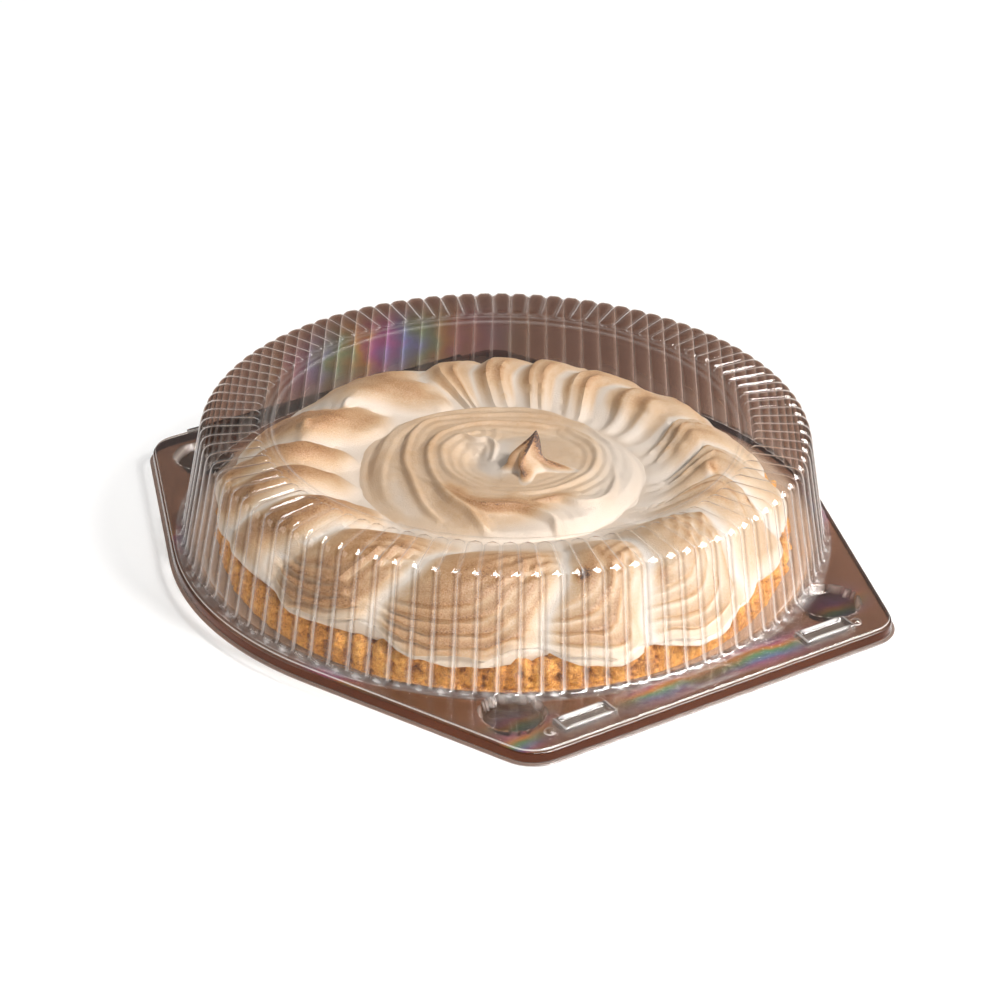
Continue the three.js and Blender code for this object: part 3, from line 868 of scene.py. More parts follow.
CASE_COLUMNS, CASE_ROWS = 1000, 88
FLOOR_Z, UNDER_Z = 5.2, 1.15
# The case's section, radius and height, from the middle of its floor, over the rim and down its outer
# side to the middle of its underside.
CASE_INSIDE = [(0, FLOOR_Z), (60, FLOOR_Z), (103.6, FLOOR_Z), (104.6, 9.5), (105.9, 14.9)]
CASE_OUTSIDE = [
    (105.9, 14.9), (108.6, 16.6), (111.6, 17.4), (113.8, 16.6), (114.9, 14.2), (115.3, 11), (115.3, 7.5),
    (115.1, 4.4), (114.5, 2.2), (113.2, UNDER_Z),
]
CASE_UNDER = [(113.2, UNDER_Z), (60, UNDER_Z), (0, UNDER_Z)]
OUTSIDE_START, OUTSIDE_END = 0.1, 0.93  # share of the way from pole to pole
CASE_DRIFT, CASE_LUMPS, CASE_CRUMBS = (30, 2.2, 1), (5.4, 6.1), (2.2, 9.4)

CURD_COLUMNS, CURD_ROWS = 180, 36
CURD_EDGE_R = 105.0
CURD_TOP_Z = 14.7
CURD_LOW_Z = 5.4
CURD_SHARES = (0.6, 0.7)  # of the way from pole to pole: where the top ends and the underside starts


def pastry_case(settings):
    piece, azimuth, share = wrapped_grid("pastry_case", CASE_COLUMNS, CASE_ROWS)
    r, z = np.zeros(len(share)), np.zeros(len(share))
    sections = (CASE_INSIDE, CASE_OUTSIDE, CASE_UNDER)
    ends = (0, OUTSIDE_START, OUTSIDE_END, 1)
    for section, start, end in zip(sections, ends, ends[1:]):
        here = (share >= start) & (share <= end)
        line = curve_through(section, 200)
        at = (share[here] - start) / (end - start)
        r[here], z[here] = [np.interp(at, np.linspace(0, 1, len(line)), column) for column in line.T]
    outside = smoothstep(OUTSIDE_START, OUTSIDE_START + 0.12, share)
    outside = outside * (1 - smoothstep(OUTSIDE_END - 0.08, OUTSIDE_END, share))
    shown = outside > 0.01
    base = round_points(r, azimuth, z)[shown]
    lumps, crumbs, crimp = np.zeros((3, len(share)))
    lumps[shown], crumbs[shown] = unevenness(base, *CASE_LUMPS), unevenness(base, *CASE_CRUMBS)
    drift = unevenness(base, *CASE_DRIFT)
    crimp[shown] = 2 * np.abs(np.cos(0.5 * settings.crimps * azimuth[shown] + 1.4 * drift)) - 1
    push = outside * (1.5 * crimp * smoothstep(2, 9, z) + 1.7 * lumps + 0.8 * crumbs - 1.0)
    points = round_points(r + push, azimuth, z + 0.6 * push * smoothstep(12, 17, z))
    move_vertices(piece, pie_to_dish(points))
    # Painted shade: where the lumps and crimps sink, in the cracks between them.
    paint(piece, "painted_crack_shade", outside * smoothstep(0.15, 0.9, -(lumps + 0.7 * crumbs + 0.4 * crimp)))
    close_and_smooth(piece, 180)
    return piece


def lemon_curd():
    """Set curd, slightly higher where it clings to the pastry."""
    piece, azimuth, share = wrapped_grid("lemon_curd", CURD_COLUMNS, CURD_ROWS)
    top_end, under_start = CURD_SHARES
    across = np.clip(share / top_end, 0, 1)
    down = np.clip((share - top_end) / (under_start - top_end), 0, 1)
    back = np.clip((share - under_start) / (1 - under_start), 0, 1)
    r = (CURD_EDGE_R * across - 1.8 * down) * (1 - back)
    z = CURD_TOP_Z - 0.35 * (1 - smoothstep(0.93, 1, across)) - (CURD_TOP_Z - CURD_LOW_Z) * down
    z = z + 0.22 * unevenness(round_points(r, azimuth, z), 16, 4.4) * (down == 0)
    move_vertices(piece, pie_to_dish(round_points(r, azimuth, z)))
    close_and_smooth(piece, 60)
    return piece


# ---------------------------------------------------------------- the dish

SPLAY = math.radians(22.6)  # lean of the straight edges beside the corners
SIDE_R, CORNER_R, FRONT_Y, BACK_Y = 134.4, 14.0, -145.4, 138.4
FAR_SIDE = math.radians(90) + PIE_TURN  # the side behind the dome, where two layers would look black

TRAY_COLUMNS = 720
TRAY_TOP_Z = 9.4
FLANGE_START_R = 127.6
TRAY_SECTION = [  # radius and height from the well's floor to the start of the flange
    (40, 0.7), (90, 0.7), (116, 0.7), (118.4, 0.8), (119.6, 1.5), (121.4, 4.2), (123.4, 7.2), (124.3, 8.7),
    (125.0, 9.25), (126.2, TRAY_TOP_Z), (FLANGE_START_R, TRAY_TOP_Z),
]
TRAY_EDGE = [  # how far inside the outline, and height, down the skirt to the lip
    (0.5, 9.3), (0.15, 9.05), (0.0, 8.5), (0.0, 7.0), (0.0, 5.6), (-0.2, 5.15), (-0.8, 5.0), (-1.5, 4.95),
]
POCKET_AT, POCKET_ANGLE, POCKET_R, POCKET_DEPTH = 138.5, math.radians(57.5), 12.5, 3.6
EDGE_INSET = 1.4  # where the flange ends, inside the outline
# Strained spots of the tray's sheet: strength, x, y, half the length, half the width.
STRAINED = [
    (1.0, 30, -134, 20, 6), (0.9, -20, -134, 14, 5), (0.7, 76, -118, 9, 8), (0.8, -76, -122, 9, 9),
    (0.7, -84, -136, 8, 5), (0.5, -118, -62, 7, 16), (0.5, 118, -62, 7, 14), (0.4, -118, 62, 7, 14),
]

FLUTES = 98
FLUTE_DEPTH = 1.5
FLUTE_END_R = 97.6  # the flutes end in rounded tips here, on the dome's upper ring
FLUTE_TIP = 3.2  # how long a tip is
HALF_FLUTE = [(0.0, 1.0), (0.06, 0.7), (0.13, 0.4), (0.27, 0.13)]
# Columns of points in one flute, from its groove on: place across the flute, and depth there.
FLUTE_COLUMNS = HALF_FLUTE + [(0.5, 0.0)] + [(1 - across, depth) for across, depth in HALF_FLUTE[:0:-1]]

LID_FLANGE_Z = 10.5
LID_FOOT_R = 132.0
WALL_R = (120.0, 131.0)  # from the wall's top to its foot
WALL_LOW_Z = 11.2
RING_TOP_Z, PANEL_Z = 58.4, 56.0
# The dome's section from the axis to the flange: radius, height, and the flutes' share of depth taken
# off the radius and off the height; a share below 0 is taken off all the way round.
LID_SECTION = [
    *((r, PANEL_Z, 0, 0) for r in (40, 75, 89, 91.6)),
    (92.5, 56.1, 0, 0), (93.3, 56.45, 0, 0), (94.0, 57.0, 0, 0), (94.6, 57.3, 0, 0),
    *((r, RING_TOP_Z, 0, -0.7) for r in (95.4, 96.6)),
    *((r, RING_TOP_Z, 0, 0.9) for r in (97.5, 98.0, 98.5, 99.1, 99.9, 100.8, 102.5, 105.5, 109.0, 113.0)),
    (115.6, RING_TOP_Z, 0.05, 0.9), (117.4, 58.25, 0.2, 0.9), (119.0, 57.8, 0.4, 0.85),
    (120.3, 57.1, 0.62, 0.5), (121.2, 56.2, 0.85, 0.3), (121.8, 55.0, 1, 0.1), (122.3, 53.0, 1, 0),
    (123.4, 47.0, 1, 0), (124.7, 40.0, 1, 0), (126.0, 33.0, 1, 0), (127.3, 26.0, 1, 0),
    (128.5, 19.5, 1, 0), (129.3, 15.0, 1, 0),
    (129.6, 13.4, 0.95, 0), (129.8, 12.4, 0.8, 0), (130.1, 11.5, 0.5, 0), (130.6, 10.9, 0.2, 0),
    (131.3, 10.6, 0, 0), (LID_FOOT_R, LID_FLANGE_Z, 0, 0),
]
LID_EDGE = [(0.95, 10.4), (0.82, 10.15), (0.8, 9.75)]  # how far inside the outline, and height

LATCH_X, LATCH_Y, LATCH_SIZE, LATCH_LOW_Z = 56.0, -136.4, (24.0, 8.4, 3.2), 9.75
LATCH_ROUNDING, SLOT_RIM, SLOT_EDGE, SLOT_DEPTH = 0.7, 1.5, 0.4, 1.3
POST_SIZE, POST_ROUNDING = (20.4, 4.8, 1.9), 0.5
BUMP_X, BUMP_R, BUMP_HEIGHT = 71.5, 2.2, 1.6  # a round bump beyond each latch's outer end
SHELF = (LATCH_Y, 84.0, 11.5)  # the raised strip between the latches: middle's y, length, width
TAB = (-137.6, 23.0, 8.0)  # the opening tab likewise
SHELF_HEIGHT, TAB_HEIGHT = 0.5, 0.9
HINGE_Y, HINGE_Z, HINGE_HALF, HINGE_R = 139.2, 9.55, 70.0, 0.9


def outline_radius(azimuth, inset):
    """Distance of the dish's outline, moved in by inset, from the axis in each direction."""
    side, corner = SIDE_R - inset, CORNER_R - inset
    front, back = FRONT_Y + inset + corner, BACK_Y - inset - corner

    def corner_x(y):
        return (side - corner - math.sin(SPLAY) * abs(y)) / math.cos(SPLAY)

    quarter = math.pi / 2
    corners = [
        (0, 0, side, -SPLAY, SPLAY),
        (corner_x(back), back, corner, SPLAY, quarter),
        (-corner_x(back), back, corner, quarter, 2 * quarter - SPLAY),
        (0, 0, side, 2 * quarter - SPLAY, 2 * quarter + SPLAY),
        (-corner_x(front), front, corner, 2 * quarter + SPLAY, 3 * quarter),
        (corner_x(front), front, corner, 3 * quarter, TURN - SPLAY),
    ]
    line = []
    for x, y, r, first, last in corners:
        turn = np.linspace(first, last, 60)
        line.append(np.stack([x + r * np.cos(turn), y + r * np.sin(turn)], 1))
    line = np.concatenate([*line, line[0][:1]])
    t = np.linspace(0, 1, 12)[None, :, None]
    x, y = mix(line[:-1, None], line[1:, None], t).reshape(-1, 2).T
    direction = np.arctan2(y, x)
    order = np.argsort(direction)
    return np.interp(azimuth, direction[order], np.hypot(x, y)[order], period=TURN)


def open_shell(name, rings):
    """A sheet through rings of equally many points, the first closed to a pole."""
    count = len(rings[0])
    piece, azimuth, share = wrapped_grid(name, count, len(rings))
    level = np.rint(share * len(rings)).astype(int)
    order = np.rint(azimuth / TURN * count).astype(int) % count
    placed = np.array(rings)[np.clip(level - 1, 0, len(rings) - 1), order]
    placed[level == 0] = np.mean(rings[0], axis=0)
    move_vertices(piece, placed)
    return piece


def thicken(piece, thickness, painted_highlight):
    """Gives the sheet its thickness, inwards from its faces, and marks its outer face; the last argument
    gives the strength of the painted highlights, pale lines, at points on it."""
    outer = len(piece.data.vertices)
    modifier = piece.modifiers.new("sheet", "SOLIDIFY")
    modifier.thickness = thickness
    modifier.offset = -1
    modifier.use_even_offset = False
    make_active(piece)
    bpy.ops.object.modifier_apply(modifier=modifier.name)
    is_outer = np.arange(len(piece.data.vertices)) < outer
    paint(piece, "outer face", is_outer)
    paint(piece, "painted_highlight", is_outer * painted_highlight(vertices_of(piece)))


def flange_rings(azimuth, start_r, count):
    """Radii of rings from the round start out to the edge of the flange, evenly spread."""
    edge = outline_radius(azimuth, EDGE_INSET)
    for t in np.linspace(0, 1, count + 1)[1:]:
        yield mix(start_r, np.maximum(edge, start_r + 0.4), t)


def edge_rings(azimuth, edge):
    for inset, z in edge:
        yield round_points(outline_radius(azimuth, inset), azimuth, np.full(len(azimuth), z))


def pocket_depth(x, y, grow=0.0):
    """0 to 1: how deep in one of the four corner pockets a point lies."""
    px, py = POCKET_AT * math.cos(POCKET_ANGLE), POCKET_AT * math.sin(POCKET_ANGLE)
    away = np.hypot(np.abs(x) - px, np.abs(y) - py)
    return 1 - smoothstep(POCKET_R + grow - 1.5, POCKET_R + grow, away)


def tray_rings():
    azimuth = np.linspace(0, TURN, TRAY_COLUMNS, endpoint=False)
    for r, z in TRAY_SECTION:
        yield round_points(r, azimuth, np.full(TRAY_COLUMNS, z))
    for r in flange_rings(azimuth, FLANGE_START_R, 20):
        x, y, z = round_points(r, azimuth, np.full(TRAY_COLUMNS, TRAY_TOP_Z)).T
        yield np.stack([x, y, z - POCKET_DEPTH * pocket_depth(x, y) * smoothstep(126.5, 128.5, r)], 1)
    yield from edge_rings(azimuth, TRAY_EDGE)


def tray_painted_highlights(points):
    """Painted highlights: pale lines round the pockets and along the lip."""
    x, y, z = points.T
    rim = pocket_depth(x, y, 0.3) * (1 - pocket_depth(x, y, -0.5))
    lip = smoothstep(5.6, 5.1, z) * (np.hypot(x, y) > 128)
    return 0.5 * rim * (z > 7) + 0.12 * lip


def clear_tray(settings):
    piece = open_shell("clear_tray", list(tray_rings()))
    close_and_smooth(piece, 50)
    thicken(piece, settings.tray_sheet, tray_painted_highlights)
    x, y, z = vertices_of(piece).T
    r = np.hypot(x, y)
    pocket = pocket_depth(x, y)
    # Painted darkness: painted shade in the pockets and a painted reflection of a dark room on the flange and
    # skirt, taken off behind the dome and lighter along the lip.
    skirt = smoothstep(9.35, 9.0, z) * (r > 130) * (1 - pocket)
    lip = smoothstep(5.5, 5.1, z) * (r > 128) * (1 - pocket)
    behind = smoothstep(0.70, 0.82, (math.cos(FAR_SIDE) * x + math.sin(FAR_SIDE) * y) / np.maximum(r, 1))
    depth = PAINTED_DARKNESS["flange"] * smoothstep(123, 129, r) + (PAINTED_DARKNESS["skirt"] - PAINTED_DARKNESS["flange"]) * skirt
    depth = depth + (PAINTED_DARKNESS["pocket"] - PAINTED_DARKNESS["flange"]) * pocket
    paint(piece, "depth of painted darkness", depth * (1 - 0.85 * behind) * (1 - 0.6 * lip))
    strain = sum(k * bump(x, px, wide) * bump(y, py, deep) for k, px, py, wide, deep in STRAINED)
    paint(piece, "strain", strain * (r > 128) * (1 - skirt))
    paint(piece, "rainbow order", np.where(y < -100, (-126 - y) / 75, (r - 130) / 75) + 0.15)
    return piece


def across_flute(azimuth):
    """Number of flutes from X round to there, and the place across its flute, 0 and 1 in the grooves."""
    flute = azimuth / TURN * FLUTES
    return flute, flute % 1.0


def off_rib(r, across):
    """0 on the middle of a flute's rib and 1 in the groove between two, round the rib's tip too."""
    return np.hypot(2 * across - 1, np.minimum(r - FLUTE_END_R - FLUTE_TIP, 0) / FLUTE_TIP)


def on_pad(x, y, pad):
    """Distance from the middle line of an oval pad, as a share of half its width."""
    middle_y, length, width = pad
    return np.hypot(np.maximum(np.abs(x) - (length - width) / 2, 0), y - middle_y) / (width / 2)


def lid_rings():
    pitch = TURN / FLUTES
    columns = [
        ((flute + across) * pitch, depth) for flute in range(FLUTES) for across, depth in FLUTE_COLUMNS
    ]
    azimuth, depth = np.array(columns).T
    across = across_flute(azimuth)[1]
    for r, z, inward, down in LID_SECTION:
        sunk = smoothstep(0.45, 1.0, off_rib(r, across)) * (down > 0) + (down < 0)
        yield round_points(r - inward * FLUTE_DEPTH * depth, azimuth, z - abs(down) * FLUTE_DEPTH * sunk)
    for r in flange_rings(azimuth, LID_FOOT_R, 12):
        x, y, z = round_points(r, azimuth, np.full(len(azimuth), LID_FLANGE_Z)).T
        tab = TAB_HEIGHT * (1 - smoothstep(0.8, 1.15, on_pad(x, y, TAB)))
        shelf = SHELF_HEIGHT * (1 - smoothstep(0.9, 1.1, on_pad(x, y, SHELF)))
        yield np.stack([x, y, z + np.maximum(tab, shelf)], 1)
    yield from edge_rings(azimuth, LID_EDGE)


def lid_painted_highlights(points):
    """Painted highlights: pale lines beside the flutes' grooves and round their tips, round the panel's step,
    along the foot, round the pads and along the edge; and a painted reflection, a haze, low on the far wall."""
    x, y, z = points.T
    r, azimuth = np.hypot(x, y), np.arctan2(y, x)
    flute, across = across_flute(azimuth)
    upper = z > 50
    wide = mix(0.15, 0.07, smoothstep(14, 46, z))
    grooves = smoothstep(wide, 0.5 * wide, np.minimum(across, 1 - across))
    grooves = grooves * (r > 118) * (r < WALL_R[1]) * (z > WALL_LOW_Z)
    ahead = np.sin(azimuth - PIE_TURN + math.pi / 2) * (2 * across - 1)
    tips = bump(off_rib(r, across), 0.86, 0.07) * (0.25 + 0.75 * smoothstep(-0.2, 0.4, ahead))
    tips = tips * (r > FLUTE_END_R) * (r < 120) * upper
    step = (bump(r, 93.0, 0.45) + 0.6 * bump(r, 95.6, 0.4)) * upper
    uneven = 0.55 + 0.45 * np.sin(2.4 * np.floor(flute)) * np.sin(5.1 * np.floor(2 * flute))
    foot = bump(r, 130.7, 0.8) * (0.3 + 0.7 * np.sin(math.pi * flute) ** 6) + 0.5 * bump(r, 132.2, 0.35)
    foot = foot * uneven * (z < 12.5)
    pads = bump(on_pad(x, y, TAB), 1.0, 0.13) + 0.6 * bump(on_pad(x, y, SHELF), 1.0, 0.07)
    pads = pads * (y < -120) * (z > LID_FLANGE_Z - 0.2)
    edge = smoothstep(LID_FLANGE_Z, LID_FLANGE_Z - 0.3, z)
    haze = smoothstep(27, 20, z) * (r > 122) * (r < 130) * smoothstep(0.0, 0.6, np.sin(azimuth - PIE_TURN))
    haze = haze * (0.6 + 0.4 * np.sin(3.7 * np.floor(flute)))
    return 0.35 * haze + 0.27 * grooves + 0.38 * tips + 0.2 * step + 0.8 * foot + 0.7 * edge + 0.25 * pads


def clear_lid(settings):
    piece = open_shell("clear_lid", list(lid_rings()))
    close_and_smooth(piece, 60)
    thicken(piece, settings.lid_sheet, lid_painted_highlights)
    x, y, z = vertices_of(piece).T
    r, azimuth = np.hypot(x, y), np.arctan2(y, x)
    off = off_rib(r, across_flute(azimuth)[1])
    # Painted shade: a dark line beside each groove on the wall.
    paint(piece, "painted_crease_shade", 0.7 * bump(off, 0.76, 0.07) * (r > WALL_R[0]) * (r < WALL_R[1]) * (z > WALL_LOW_Z))
    degrees = np.degrees(azimuth)
    back_left = bump(around(degrees, 82), 0, 17)
    paint(piece, "strain", 0.55 * back_left * (r > WALL_R[0]) * bump(z, 34, 13) * (z < 52))
    paint(piece, "rainbow order", (degrees - 40) / 120)
    return piece


def select_facing(piece, sign):
    """Opens the piece for editing with only its faces that look up selected, or down for a sign of -1."""
    bpy.context.tool_settings.mesh_select_mode = (False, False, True)
    for face in piece.data.polygons:
        face.select = bool(sign * face.normal.z > 0.5)
    edit(select_everything=False)


def moulded_box(name, size, place, rounding, slotted):
    """A hollow box moulded in the sheet, open below and standing at place, with or without a slot sunk
    in its top."""
    piece = new_piece(name, bpy.ops.mesh.primitive_cube_add, size=MM)
    edit()
    bpy.ops.transform.resize(value=size, center_override=(0, 0, 0))
    bpy.ops.transform.translate(value=(place[0] * MM, place[1] * MM, (place[2] + size[2] / 2) * MM))
    leave_editing()
    if slotted:
        select_facing(piece, 1)
        bpy.ops.mesh.inset(thickness=SLOT_RIM * MM)
        bpy.ops.mesh.inset(thickness=SLOT_EDGE * MM, depth=-SLOT_DEPTH * MM)
        leave_editing()
    select_facing(piece, -1)
    bpy.ops.mesh.delete(type="FACE")
    bpy.ops.mesh.select_all(action="SELECT")
    bpy.ops.mesh.bevel(offset=rounding * MM, segments=3, affect="EDGES", clamp_overlap=True)
    bpy.ops.mesh.select_all(action="SELECT")
    bpy.ops.mesh.subdivide(number_cuts=5)
    leave_editing()
    close_and_smooth(piece, 40)
    return piece


def paint_moulding(piece, painted_highlight, darkness=0.4):
    """Marks a small moulding as one clear face; the function given gives the strength of its painted
    highlights, pale lines, and the number after it the depth of its painted darkness.
    """
    points = vertices_of(piece)
    ones = np.ones(len(points))
    for name, values in (("outer face", ones), ("painted_highlight", painted_highlight(points)), ("depth of painted darkness", darkness * ones)):
        paint(piece, name, values)
    return piece


def latch_painted_highlights(points):
    """Painted highlights: the latch is pale along both sides of its slot, and clear towards its ends."""
    x, y, z = points.T
    top = LATCH_LOW_Z + LATCH_SIZE[2]
    along = np.abs(np.abs(x) - LATCH_X)
    strips = bump(np.abs(y - LATCH_Y), 3.0, 0.9) * smoothstep(top - 1.2, top - 0.6, z)
    ends = bump(along, 0.5 * LATCH_SIZE[0] - 0.7, 0.5) * smoothstep(top - 0.9, top - 0.2, z)
    return 0.05 + 0.85 * strips * smoothstep(9.5, 7.5, along) + 0.25 * ends


def latch(name):
    """A hollow latch; painted shade fills its slot."""
    piece = moulded_box(name, LATCH_SIZE, (-LATCH_X, LATCH_Y, LATCH_LOW_Z), LATCH_ROUNDING, True)
    points = vertices_of(piece)
    # Painted shade in the slot.
    paint(piece, "painted_crease_shade", bump(points[:, 1], LATCH_Y, 2.4) * (points[:, 2] > LATCH_LOW_Z + 1))
    return paint_moulding(piece, latch_painted_highlights)


def latch_bump(name):
    """A low dome moulded in the lid's flange."""
    add = bpy.ops.mesh.primitive_uv_sphere_add
    piece = new_piece(name, add, segments=24, ring_count=16, radius=BUMP_R * MM)
    edit()
    bpy.ops.mesh.bisect(plane_co=(0, 0, 0), plane_no=(0, 0, 1), clear_inner=True)
    bpy.ops.mesh.select_all(action="SELECT")
    bpy.ops.transform.resize(value=(1, 1, BUMP_HEIGHT / BUMP_R), center_override=(0, 0, 0))
    bpy.ops.transform.translate(value=(-BUMP_X * MM, LATCH_Y * MM, LID_FLANGE_Z * MM))
    leave_editing()
    close_and_smooth(piece, 60)
    # Painted highlight round its foot.
    return paint_moulding(piece, lambda p: 0.8 * smoothstep(LID_FLANGE_Z + 0.6, LID_FLANGE_Z, p[:, 2]))


def post(name):
    """A hollow post on the tray, that a latch snaps over."""
    piece = moulded_box(name, POST_SIZE, (-LATCH_X, LATCH_Y, TRAY_TOP_Z), POST_ROUNDING, False)
    # Painted highlight along its top.
    return paint_moulding(piece, lambda p: 0.3 * smoothstep(TRAY_TOP_Z + 1.2, TRAY_TOP_Z + 1.8, p[:, 2]))


def hinge_bead():
    """The round fold along the back edge, where the lid turns."""
    add = bpy.ops.mesh.primitive_cylinder_add
    piece = new_piece("hinge_bead", add, vertices=20, radius=HINGE_R * MM, depth=2 * HINGE_HALF * MM)
    edit()
    bpy.ops.mesh.bevel(offset=0.3 * MM, segments=2, affect="EDGES")
    bpy.ops.transform.rotate(value=math.pi / 2, orient_axis="Y", center_override=(0, 0, 0))
    bpy.ops.transform.translate(value=(0, HINGE_Y * MM, HINGE_Z * MM))
    leave_editing()
    close_and_smooth(piece, 60)
    # A faint painted highlight all over.
    return paint_moulding(piece, lambda p: np.full(len(p), 0.12))


def small_mouldings():
    """Body and piece for the latches and bumps of the lid, and for the posts and the hinge of the tray.
    Those on the left are modelled, and copied to the right."""
    left = [
        ("lid", latch("left_latch"), 2 * LATCH_X), ("lid", latch_bump("left_bump"), 2 * BUMP_X),
        ("base", post("left_post"), 2 * LATCH_X),
    ]
    right = [(body, copied(piece, piece.name.replace("left", "right"), shift)) for body, piece, shift in left]
    return [(body, piece) for body, piece, _ in left] + right + [("base", hinge_bead())]


# ---------------------------------------------------------------- settings, operators, panel

def colour_setting(name, description, default):
    return bpy.props.FloatVectorProperty(
        name=name, description=description, default=default, subtype="COLOR", min=0, max=1, size=3
    )


def sheet_setting(name, description, millimetres):
    return bpy.props.FloatProperty(
        name=name, description=description, default=millimetres * MM, unit="LENGTH", min=0.1 * MM, max=2 * MM
    )


class MeringueSettings(bpy.types.PropertyGroup):
    white: colour_setting("White", "Colour of untoasted meringue", (0.83, 0.775, 0.71))
    cream: colour_setting("Cream", "Colour of lightly toasted meringue", (0.78, 0.62, 0.45))
    tan: colour_setting("Tan", "Colour of toasted meringue", (0.66, 0.425, 0.225))
    brown: colour_setting("Brown", "Colour of well toasted crests", (0.46, 0.22, 0.07))
    burnt: colour_setting("Burnt", "Colour of scorched tips", (0.06, 0.02, 0.008))
    toast: bpy.props.FloatProperty(
        name="Toast", description="How far all is toasted", default=1.0, subtype="FACTOR", min=0, max=2
    )


class PastrySettings(bpy.types.PropertyGroup):
    # Colour of the painted shade in the cracks.
    painted_crack_shade: colour_setting("Crack shade", "Colour in the cracks", (0.20, 0.08, 0.02))
    brown: colour_setting("Brown", "Colour of the well baked parts", (0.44, 0.165, 0.028))
    golden: colour_setting("Golden", "Colour of most of the crust", (0.75, 0.325, 0.052))
    pale: colour_setting("Pale", "Colour of the sandy grains", (0.90, 0.52, 0.13))
    crimps: bpy.props.IntProperty(
        name="Crimps", description="Waves round the rim", default=76, subtype="UNSIGNED", min=8, max=200
    )


class CurdSettings(bpy.types.PropertyGroup):
    deep: colour_setting("Deep", "Colour of the thick parts", (0.42, 0.26, 0.03))
    light: colour_setting("Light", "Colour of the thin parts", (0.68, 0.47, 0.10))


class PlasticSettings(bpy.types.PropertyGroup):
    near: colour_setting("Near", "What the lid's near side lets through seen square on", (0.915, 0.885, 0.86))
    near_edge_on: colour_setting("Near edge on", "What it lets through at a grazing view", (0.86, 0.74, 0.64))
    # The far side's colours are a painted reflection of a dark room.
    far: colour_setting("Far", "What the lid's far side lets through seen square on", (0.085, 0.034, 0.021))
    far_edge_on: colour_setting("Far edge on", "What it lets through at a grazing view", (0.40, 0.26, 0.20))
    # The tray's colours are painted darkness: painted shade in the pockets and a painted reflection of a dark
    # room elsewhere.
    tray_well: colour_setting("Tray well", "What the tray's well lets through", (0.55, 0.42, 0.32))
    tray_flange: colour_setting("Tray flange", "What the tray's flange lets through", (0.17, 0.083, 0.050))
    tray_pocket: colour_setting("Tray pocket", "What its corner pockets let through", (0.05, 0.026, 0.016))
    tray_skirt: colour_setting("Tray skirt", "What the tray's skirt lets through", (0.10, 0.026, 0.008))
    # Colour of the painted shade beside the grooves and in the slots.
    painted_crease_shade: colour_setting("Painted crease shade", "Further tint beside the grooves and in the slots", (0.50, 0.42, 0.36))
    # Colour of the painted highlights, pale lines.
    painted_highlight: colour_setting("Painted highlight", "Colour of the pale lines where the sheet is bent", (0.85, 0.81, 0.78))
    tray_sheet: sheet_setting("Tray sheet", "Thickness of the tray's sheet", 0.55)
    lid_sheet: sheet_setting("Lid sheet", "Thickness of the lid's sheet", 0.5)


class PIE_OT_pastry(bpy.types.Operator):
    """Press the crimped pastry case and fill it with lemon curd"""
    bl_idname = "pie.pastry"
    bl_label = "Pastry and curd"

    def execute(self, context):
        pastry, curd = context.scene.pie_pastry, context.scene.pie_curd
        finish_piece(pastry_case(pastry), "base", pastry_material(pastry), "crust", "crust")
        finish_piece(lemon_curd(), "base", curd_material(curd), "filling", "lemon_filling")
        return {"FINISHED"}


class PIE_OT_meringue(bpy.types.Operator):
    """Pipe the ring of shells and the swirl with its pulled peak"""
    bl_idname = "pie.meringue"
    bl_label = "Meringue"

    def execute(self, context):
        settings = context.scene.pie_meringue
        material = meringue_material(settings)
        finish_piece(meringue_ring(settings), "base", material, "meringue", "meringue")
        finish_piece(meringue_swirl(settings), "base", material, "meringue", "meringue")
        return {"FINISHED"}


class PIE_OT_dish(bpy.types.Operator):
    """Mould the clear tray and the fluted dome lid"""
    bl_idname = "pie.dish"
    bl_label = "Tray and lid"

    def execute(self, context):
        settings = context.scene.pie_plastic
        tray_sheet, lid_sheet = tray_material(settings), lid_material(settings)
        finish_piece(clear_tray(settings), "base", tray_sheet, "clear_tray", "base_tray")
        finish_piece(clear_lid(settings), "lid", lid_sheet, "clear_lid", "dome_lid")
        for body, piece in small_mouldings():
            if body == "lid":
                finish_piece(piece, body, lid_sheet, "clear_lid", "dome_lid")
            else:
                finish_piece(piece, body, tray_sheet, "clear_tray", "base_tray")
        return {"FINISHED"}


CAMERA_LENS = 104.4
CAMERA_SENSOR = 36.0
CAMERA_ROLL = math.radians(1.25)
CAMERA_ELEVATION = math.radians(28.97)
CAMERA_DISTANCE = 1178.7 * MM
CAMERA_AIM = Vector((0.0, 0.0, 0.010))
CAMERA_REACH = 20
AIM_PIXEL = (503.7, 523.6)
IMAGE_SIZE = 1000.0
FLOOR_SIZE = 12
# The lamps stand in the food's own directions, in metres.
SUN_FROM, SUN_STRENGTH, SUN_SPREAD, SUN_COLOUR = (0.71, -0.40, 0.80), 2.9, math.radians(9), (1.0, 0.985, 0.97)
PANELS_AIM = (0, 0, 0.03)
LIGHT_PANELS = [  # name, place, size, power, colour
    ("gleam", (0.78, -0.34, 0.86), (0.95, 0.95), 100, (1, 1, 1)),
    ("strip", (0.40, -0.48, 0.86), (0.8, 0.12), 24, (1, 1, 1)),
    ("left panel", (-1.3, -0.2, 0.45), (0.9, 0.9), 12, (1, 0.93, 0.86)),
    ("right panel", (1.3, 0.1, 0.4), (0.7, 0.7), 8, (1, 0.95, 0.9)),
]
ROOM_STRENGTH = 0.32
CLEAR_BOUNCES = 40  # layers of clear sheet that a ray passes before it turns black


